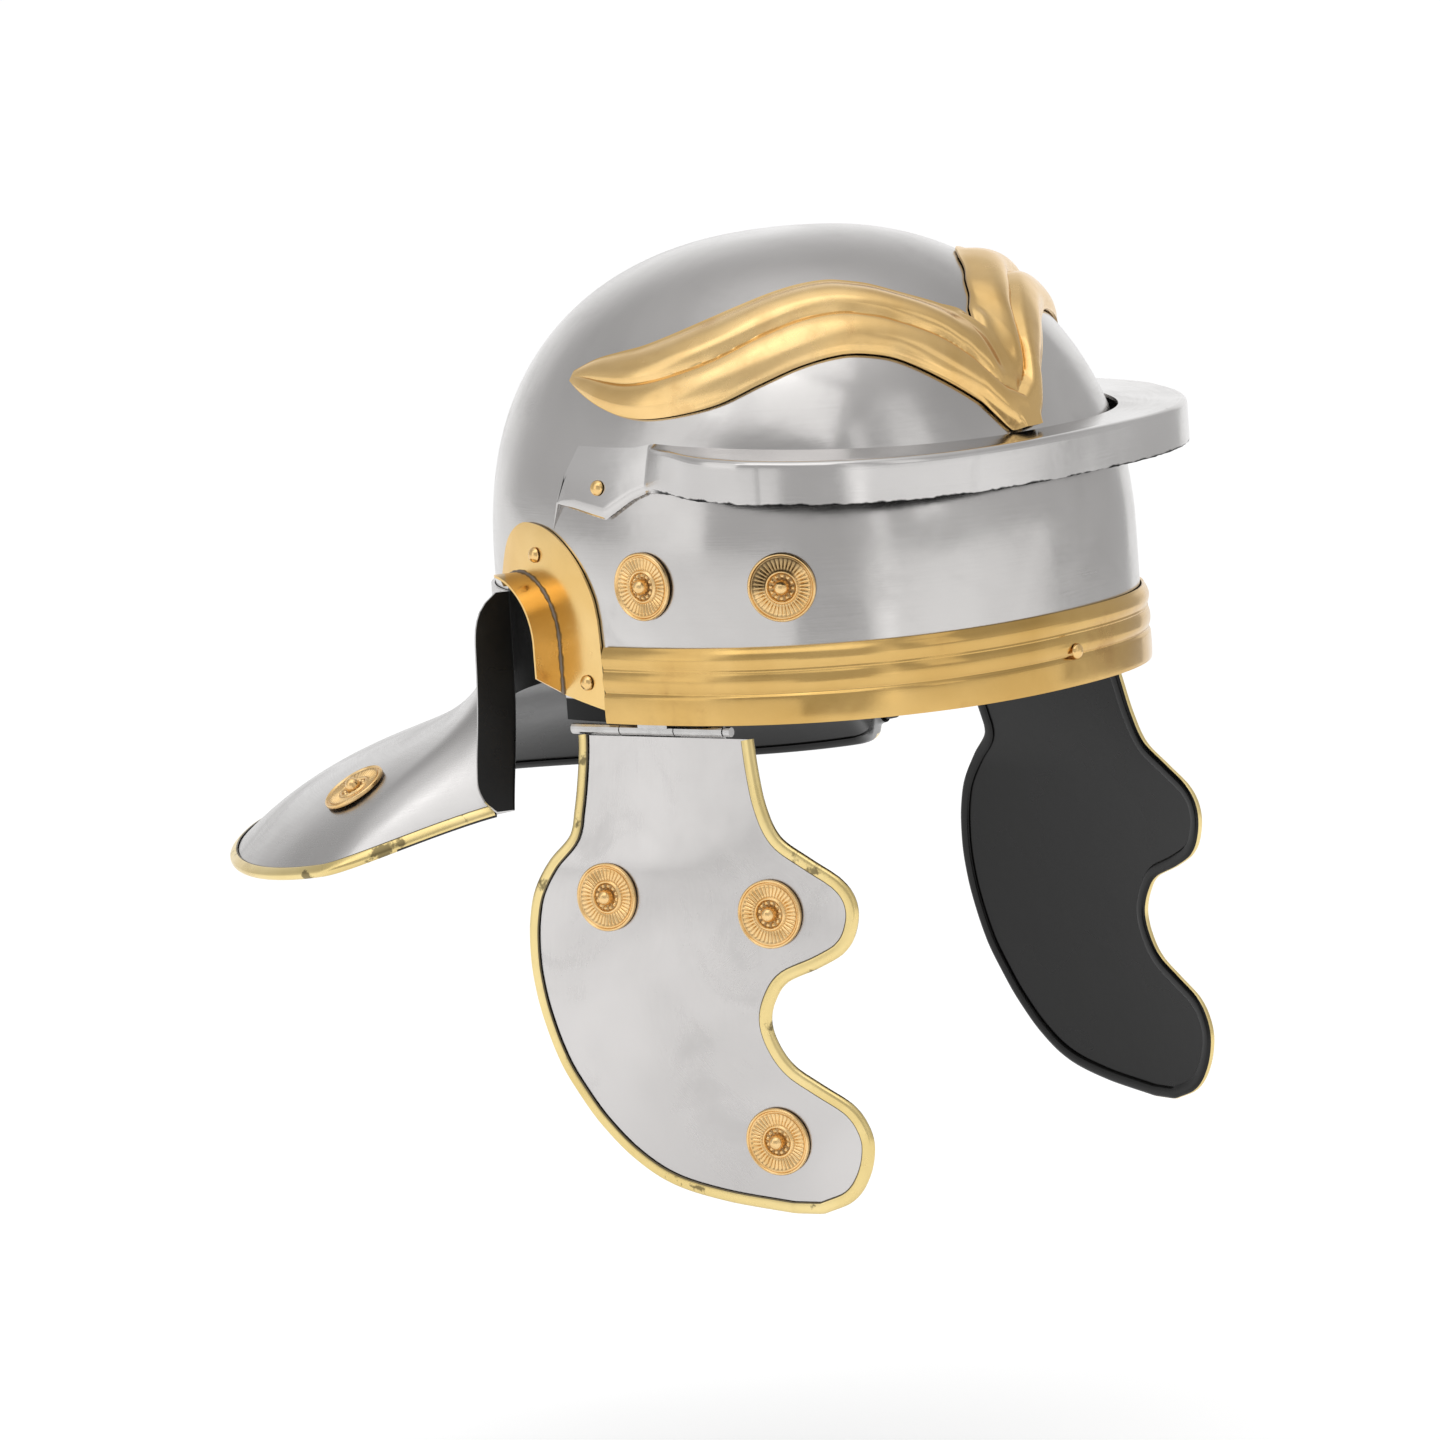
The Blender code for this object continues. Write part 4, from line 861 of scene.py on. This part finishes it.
def between(rows, count):
    """Rows on a smooth curve through given rows, point by point."""
    made = []
    for k in range(len(rows) - 1):
        before = rows[max(0, k - 1)]
        after = rows[min(len(rows) - 1, k + 2)]
        for t in steps(0.0, 1.0, count)[:-1]:
            row = []
            for a, b, c, d in zip(before, rows[k], rows[k + 1], after):
                row.append(0.5 * (2 * b + (c - a) * t + (2 * a - 5 * b + 4 * c - d) * t**2
                                  + (3 * b - a - 3 * c + d) * t**3))
            made.append(row)
    return made + [rows[-1]]


def make_brow_guard():
    side_corner = brow_outline(BROW_SIDE_ANGLE)
    front_end = BROW_SIDE_ANGLE - radians(8)
    root = side_point(1, TAB_ROOT, brow_level(TAB_ROOT), GAP + STEEL)
    wings = {}
    for side in (-1, 1):
        tab = [brow_tab_row(side, along) for along in steps(0.0, 1.0, 100)]
        wing = []
        for share in (0.40, 0.78):
            corner = root.lerp(side_corner, share) + Vector((WING_BULGE * sin(share * pi), 0, 0))
            angle = side * (BROW_SIDE_ANGLE + (1 - share) * radians(20))
            wing.append(brow_row(side, mirrored(corner, side), angle))
        for angle in (front_end + radians(4), front_end):
            wing.append(brow_row(side, brow_outline(side * angle), side * angle))
        wings[side] = tab[:-1] + between([tab[-1]] + wing, 9)
    front = [brow_row(1 if angle > 0 else -1, brow_outline(angle), angle)
             for angle in steps(-front_end, front_end, 110)[1:-1]]
    rows = wings[-1] + front + wings[1][::-1]
    for i, row in enumerate(rows):
        burr = 0.00012 * sin(i * 1.7) * sin(i * 0.61 + 1.0) + 0.00006 * sin(i * 2.9)
        row[-1] = row[-1] + Vector((0, 0, burr))
    sheet_piece("brow_peak", rows, STEEL, (BROW_SKIN, BLACK), "root", "brow_guard", (0, 0, 0.02), 50)


# Brass plates

def make_brow_band():
    end = EAR_MIDDLE - EAR_HALF_WIDTH - EAR_PLATE_WIDTH - BAND_END_GAP
    sweep = side_angle(1, end, BAND_HEIGHT / 2)
    rows = [[bowl_point(angle, share * BAND_HEIGHT, smooth_read(BAND_PROFILE, share, 1) * BAND_DEPTH)
             for share in steps(0.0, 1.0, 60)] for angle in steps(-sweep, sweep, 150)]
    sheet_piece("brow_ribbed_band", rows, BRASS, (BAND_SKIN,), "root", "brow_band", (0, 0, 0.01))


def eyebrow_relief(place, across):
    """Height of the embossing: two rolls along each wing, with a groove between them."""
    away = abs(place)
    groove = smooth_read(EYEBROW_GROOVE, away, 1)
    if across < groove:
        t = across / groove
        stem = (1 - ease((away - 0.020) / 0.022)) * (1 - ease((t - 0.35) / 0.4))
        relief = smooth_read(LOWER_ROLL, t, 1)
        relief += (0.92 - relief) * stem
    else:
        t = (across - groove) / (1 - groove)
        relief = smooth_read(UPPER_ROLL, t, 1)
        flat = 0.34 + 0.22 * ease(t / 0.18) * (1 - ease((t - 0.78) / 0.18))
        flat -= 0.32 * ease((t - 0.84) / 0.14)
        relief += (flat - relief) * (1 - ease((away - 0.012) / 0.040))
    return max(0.0, relief) * (1 - away ** 6)


def make_eyebrow_plate():
    middle = 0.12
    places = steps(-1.0, -middle, 116)[:-1] + steps(-middle, middle, 128) + steps(middle, 1.0, 116)[1:]
    rows = []
    for place in places:
        top, foot = (smooth_read(EYEBROW_EDGES, abs(place), column) * BOWL_HEIGHT for column in (1, 2))
        tilt = EYEBROW_TILT * ease(place * EYEBROW_SWEEP / radians(15))
        angle = EYEBROW_SWEEP * place - EYEBROW_TURN
        rows.append([bowl_point(angle, foot + (top - foot) * across + tilt,
                                GAP + BRASS / 2 + EYEBROW_RELIEF * eyebrow_relief(place, across))
                     for across in steps(0.0, 1.0, 60)])
    sheet_piece("eyebrow_embossed", rows, BRASS, (BRASS_SKIN,), "root", "eyebrow_plate",
                (0, 0, 0.02))


def make_ear_guard(word, side):
    rows, seam = [], []
    for turn in steps(-1.0, 0.0, 14)[:-1] + steps(0.0, EAR_SWEEP, 44):
        back, height = ear_arch(turn)
        edge_back, edge_height = ear_plate_edge(turn)
        row = [side_point(side, edge_back + (back - edge_back) * share,
                          edge_height + (height - edge_height) * share, GAP + BRASS / 2)
               for share in steps(0.0, 1.0, 12)]
        normal = bowl_normal(side_angle(side, back, height), height)
        lift = EAR_FLANGE_RISE * max(0.0, -turn) ** 2
        width = EAR_FLANGE * smooth_read(EAR_FLANGE_WIDTHS, max(0.0, turn) / EAR_SWEEP, 1)
        tip = row[-1] + normal * width + Vector((0, 0, lift))
        fold = folded((row[-2], row[-1], tip), EAR_FOLD, 5)
        rows.append(row[:-1] + fold + [fold[-1].lerp(tip, t) for t in steps(0.0, 1.0, 8)][1:])
        inward = (row[-2] - row[-1]).normalized()
        seam.append(row[-1] + (inward + normal) * SEAM_PLACE)
    sheet_piece(f"ear_plate_{word}", rows, BRASS, (EAR_SKIN,), "root", f"ear_guard_{word}",
                (0, 0.05, 0.02), 50)
    sections = []
    for k, point in enumerate(seam):
        along = course(seam, k)
        first = along.orthogonal().normalized()
        if k:
            first = (previous - along * previous.dot(along)).normalized()
        previous = first
        second = along.cross(first)
        radius = SEAM_RADIUS * (1 + 0.25 * sin(k * 2.1) + 0.2 * sin(k * 0.9))
        sections.append([point + first * x + second * y for x, y, _ in ring(8, radius, 0.0)])
    mesh = loft(f"ear_seam_{word}", sections, (SOLDER,))
    finish_mesh(mesh, 60)
    place_piece(f"ear_seam_{word}", mesh, "root", None)


# Cheek guards

def cheek_depths():
    top = (2 * KNUCKLE_RADIUS + 2 * GAP) / CHEEK_LENGTH
    marks = [top, 0.22, 0.30, 0.46, 0.54, 0.66, 0.80, 0.93, 0.98, 1.0]
    counts = [16, 12, 14, 16, 14, 12, 14, 10, 10]
    depths = [top]
    for low, high, count in zip(marks, marks[1:], counts):
        depths += steps(low, high, count)[1:]
    return depths


def make_cheek(word, side):
    body = f"cheek_{word}"
    rows, rear_line, front_line = [], [], []
    for depth in cheek_depths():
        rear, front = cheek_edges(depth)
        height = -depth * CHEEK_LENGTH
        rows.append([cheek_point(side, rear + (front - rear) * t, height) for t in steps(0.0, 1.0, 36)])
        rear_line.append((rear, height))
        front_line.append((front, height))
    sheet_piece(f"cheek_plate_{word}", rows, STEEL, (CHEEK_SKIN, BLACK), body, f"cheek_guard_{word}",
                (0, -0.02, -0.08))
    flat = resample(rear_line + front_line[::-1], CHEEK_TRIM_STEP)
    points = [cheek_point(side, *place) for place in flat]
    normals = [cheek_normal(side, *place) for place in flat]
    runs = [course(flat, k) * CHEEK_TRIM_INSIDE for k in range(len(flat))]
    inside = [cheek_point(side, place.x + run.y, place.y - run.x) for place, run in zip(flat, runs)]
    mesh = edging_mesh(f"cheek_edging_{word}", stations_along(points, normals, inside))
    place_piece(f"cheek_edging_{word}", mesh, body, f"cheek_trim_{word}")


def resample(points, step):
    """Evenly spaced points along a flat line."""
    array = np.array(points)
    lengths = running_lengths(np.linalg.norm(np.diff(array, axis=0), axis=1))
    at = np.linspace(0.0, lengths[-1], int(lengths[-1] / step) + 1)
    return [Vector(pair) for pair in zip(*(np.interp(at, lengths, array[:, column]) for column in (0, 1)))]


# Rosettes and rivets

def bell(value, middle, width):
    return max(0.0, 1 - ((value - middle) / width) ** 2)


def rosette_height(r, turn):
    """Height of the stamped rosette over its base in millimetres, and how clean and raised the metal is
    there; low values get residue and painted shade in the material.
    """
    boss = BOSS_RADIUS / ROSETTE_RADIUS
    if r < boss:
        return 1.0 + 3.0 * sqrt(max(0.0, 1 - (r / boss) ** 2)), 0.55 + 0.45 * (1 - (r / boss) ** 4)
    bead = bell(r, 0.325, 0.070) * (0.5 + 0.5 * cos(12 * turn))
    ring = bell(r, 0.445, 0.055)
    height = 0.25 + 0.60 * bead + 0.85 * ring
    clean = max(0.15, 0.9 * bead, min(1.0, 1.6 * ring))
    if 0.49 < r < 0.86:
        t = (r - 0.49) / 0.37
        window = min(1.0, 5 * t, 5 * (1 - t))
        flute = 0.5 + 0.5 * cos(39 * turn)
        height += 0.12 + 0.25 * t + window * 0.42 * flute ** 0.7
        clean = max(clean, 0.25 + 0.75 * flute ** 0.6 * window)
    if r >= 0.84:
        rim = bell(r, 0.955, 0.055)
        step = bell(r, 0.880, 0.030)
        height += 0.30 + 0.25 * step + 0.80 * rim
        clean = max(clean, step, min(1.0, 1.5 * rim))
    return height, clean


def stud_faces(rings, count):
    """Faces of a round stud: point 0 is its top, and rings of points lie below it."""
    top = [(0, 1 + k, 1 + (k + 1) % count) for k in range(count)]
    return top + [(a, d, c, b) for a, b, c, d in ring_quads(rings, count, 1)]


def rosette_mesh(soiled=False):
    segments = 312
    radii = steps(0.0, 0.23, 10)[1:] + steps(0.235, 0.52, 22) + steps(0.53, 0.84, 12) + steps(0.85, 1.0, 16)
    points, relief, soil = [(0.0, 0.0, BOSS_HEIGHT)], [1.0], [0.0]
    for r in radii:
        for k in range(segments):
            turn = 2 * pi * k / segments
            height, clean = rosette_height(r, turn)
            points.append((r * ROSETTE_RADIUS * cos(turn), r * ROSETTE_RADIUS * sin(turn), height / 1000))
            relief.append(clean)
            patch = ease(cos(turn) * 2.2 - 0.2) * (1 - 0.6 * clean) if 0.48 < r < 0.92 else 0.0
            soil.append(patch if soiled else 0.0)
    foot = len(points)
    points += ring(segments, ROSETTE_RADIUS, 0.0) + [(0.0, 0.0, 0.0)]
    relief += [0.2] * (segments + 1)
    soil += [0.0] * (segments + 1)
    faces = stud_faces(len(radii) + 1, segments)
    faces += [(foot + k, foot + segments, foot + (k + 1) % segments) for k in range(segments)]
    mesh = new_mesh("rosette", points, faces, (ROSETTE_SKIN,))
    for label, values in (("relief", relief), ("soil", soil)):
        mesh.attributes.new(label, "FLOAT", "POINT").data.foreach_set("value", values)
    finish_mesh(mesh, 70)
    return mesh


def rivet_mesh():
    segments = 32
    points = [(0.0, 0.0, RIVET_HEIGHT)]
    for radius, height in RIVET_PROFILE:
        points += ring(segments, radius * RIVET_RADIUS, height * RIVET_HEIGHT)
    faces = stud_faces(len(RIVET_PROFILE), segments)
    faces.append(tuple(range(len(points) - segments, len(points)))[::-1])
    mesh = new_mesh("rivet", points, faces, (BRASS_SKIN,))
    finish_mesh(mesh, 60)
    return mesh


def set_on(mesh, name, place, normal, body, node, spin=0.0):
    turn = normal.to_track_quat("Z", "Y").to_matrix().to_4x4()
    matrix = Matrix.Translation(place) @ turn @ Matrix.Rotation(spin, 4, "Z")
    place_piece(name, mesh, body, node, matrix)


def rosette_places(word, side):
    """Each rosette's part and place in words, place, normal and body."""
    for label, back, height in BOWL_ROSETTES:
        angle = side_angle(side, back, height)
        yield "bowl", label, bowl_point(angle, height, GAP), bowl_normal(angle, height), "root"
    around = side * NECK_ROSETTE_AROUND
    normal = neck_normal(around, NECK_ROSETTE_DOWN)
    place = neck_surface(around, NECK_ROSETTE_DOWN) + normal * (STEEL / 2 + GAP)
    yield "neck", "", place, normal, "root"
    for label, reach, depth in CHEEK_ROSETTES:
        back, height = reach * CHEEK_REAR, -depth * CHEEK_LENGTH
        normal = cheek_normal(side, back, height)
        place = cheek_point(side, back, height) + normal * (STEEL / 2 + GAP)
        yield "cheek", label, place, normal, f"cheek_{word}"


def make_studs():
    clean, soiled, rivet = rosette_mesh(), rosette_mesh(soiled=True), rivet_mesh()
    count = 0
    for word, side in SIDES:
        for part, label, place, normal, body in rosette_places(word, side):
            count += 1
            mesh = soiled if (part, label, side) == SOILED_ROSETTE else clean
            set_on(mesh, f"stamped_{part}{label}_{word}", place, normal, body,
                   f"{part}_rosette{label}_{word}", count)
        for label, back, height, sheet in RIVETS:
            angle = side_angle(side, back, height)
            set_on(rivet, f"dome_{label}_{word}", bowl_point(angle, height, 2 * GAP + sheet),
                   bowl_normal(angle, height), "root", f"{label}_{word}")
    place = bowl_point(0.0, BAND_RIVET_SHARE * BAND_HEIGHT, 1.05 * BAND_DEPTH + BRASS / 2 + GAP)
    set_on(rivet, "dome_band_rivet", place, Vector((0, -1, 0)), "root", "band_rivet")


def dress_hinges():
    for word, _ in SIDES:
        for name in (f"hinge_leaf_{word}", f"cheek_leaf_{word}", f"hinge_pin_{word}"):
            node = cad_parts[name]
            node.data.materials.clear()
            node.data.materials.append(HINGE_SKIN)


# Studio

def around_camera(angle, reach, height):
    """Place at an angle round the helmet from the camera, to its right."""
    angle = radians(VIEW_AZIMUTH + angle)
    return Vector((sin(angle) * reach, -cos(angle) * reach, height))


def add_camera():
    a, e, r = radians(VIEW_AZIMUTH), radians(VIEW_ELEVATION), radians(VIEW_ROLL)
    data = bpy.data.cameras.new("camera")
    data.lens, data.sensor_width, data.clip_end = VIEW_LENS, 36, 200
    camera = new_object("camera", data)
    turn = Matrix.Rotation(a, 4, "Z") @ Matrix.Rotation(pi / 2 - e, 4, "X") @ Matrix.Rotation(r, 4, "Z")
    camera.matrix_world = turn @ Matrix.Translation((VIEW_SIDE, VIEW_UP, VIEW_DISTANCE))
    bpy.context.scene.camera = camera


def add_light(name, around, height, reach, size, glow):
    """Soft light that shines at the origin. Glow is its brightness to the eye."""
    place = around_camera(around, reach, height)
    data = bpy.data.lights.new(name, "AREA")
    data.shape = "RECTANGLE"
    data.size, data.size_y = size
    data.energy = glow * pi * size[0] * size[1]
    light = new_object(name, data)
    light.location = place
    light.rotation_euler = (-place).to_track_quat("-Z", "Y").to_euler()
    light.visible_camera = False


def stage_skin(name, colour, glow, rough, specular):
    return new_skin(name).finish({
        "Base Color": colour, "Roughness": rough, "Specular IOR Level": specular,
        "Emission Color": (1, 1, 1), "Emission Strength": glow,
    })


def add_floor():
    corners = [(x * FLOOR_REACH, y * FLOOR_REACH, 0) for x, y in ((-1, -1), (1, -1), (1, 1), (-1, 1))]
    skin = stage_skin("floor", (0.93, 0.93, 0.93), FLOOR_GLOW, 0.9, 0.1)
    floor = new_object("floor", new_mesh("floor", corners, [(0, 1, 2, 3)], (skin,)))
    floor.location = (0, 0, FLOOR_HEIGHT)


def add_card(name, around, reach, size, glow):
    """Upright card on the floor, darker than the floor and seen only as a reflection in the metal."""
    foot = around_camera(around, reach, FLOOR_HEIGHT)
    head = foot + Vector((0, 0, size[1]))
    across = around_camera(around + 90, size[0] / 2, 0)
    skin = stage_skin(name, (0, 0, 0), glow, 1.0, 0.0)
    corners = (foot - across, foot + across, head + across, head - across)
    card = new_object(name, new_mesh(name, corners, [(0, 1, 2, 3)], (skin,)))
    for ray in ("camera", "diffuse", "shadow", "transmission"):
        setattr(card, f"visible_{ray}", False)


def add_sky():
    """White sweep behind the helmet, dimmer towards the camera's side and overhead."""
    world = bpy.data.worlds.new("studio")
    bpy.context.scene.world = world
    n = Nodes(world)
    place = n.add("ShaderNodeTexCoord", {}, "Generated")
    behind = tuple(-around_camera(0, 1, 0))
    facing = n.add("ShaderNodeVectorMath", {0: place, 1: behind}, "Value", operation="DOT_PRODUCT")
    sweep = n.spread(facing, 0.60, 0.93, SKY_NEAR, SKY_BEHIND)
    rise = n.add("ShaderNodeSeparateXYZ", {"Vector": place}, "Z")
    rise = n.ramp(rise, [(sine, (value,) * 3) for sine, value in SKY_RISE])
    n.finish({"Color": (1, 1, 1), "Strength": n.maths("MULTIPLY", sweep, rise)}, "Background")


def add_studio():
    add_floor()
    add_sky()
    for light in LIGHTS:
        add_light(*light)
    for card in CARDS:
        add_card(*card)
    bpy.context.scene.view_settings.view_transform = "Standard"


add_camera()
make_skull()
make_neck_guard()
make_neck_trim()
make_brow_guard()
make_brow_band()
make_eyebrow_plate()
for word, side in SIDES:
    make_ear_guard(word, side)
    make_cheek(word, side)
make_studs()
dress_hinges()
add_studio()
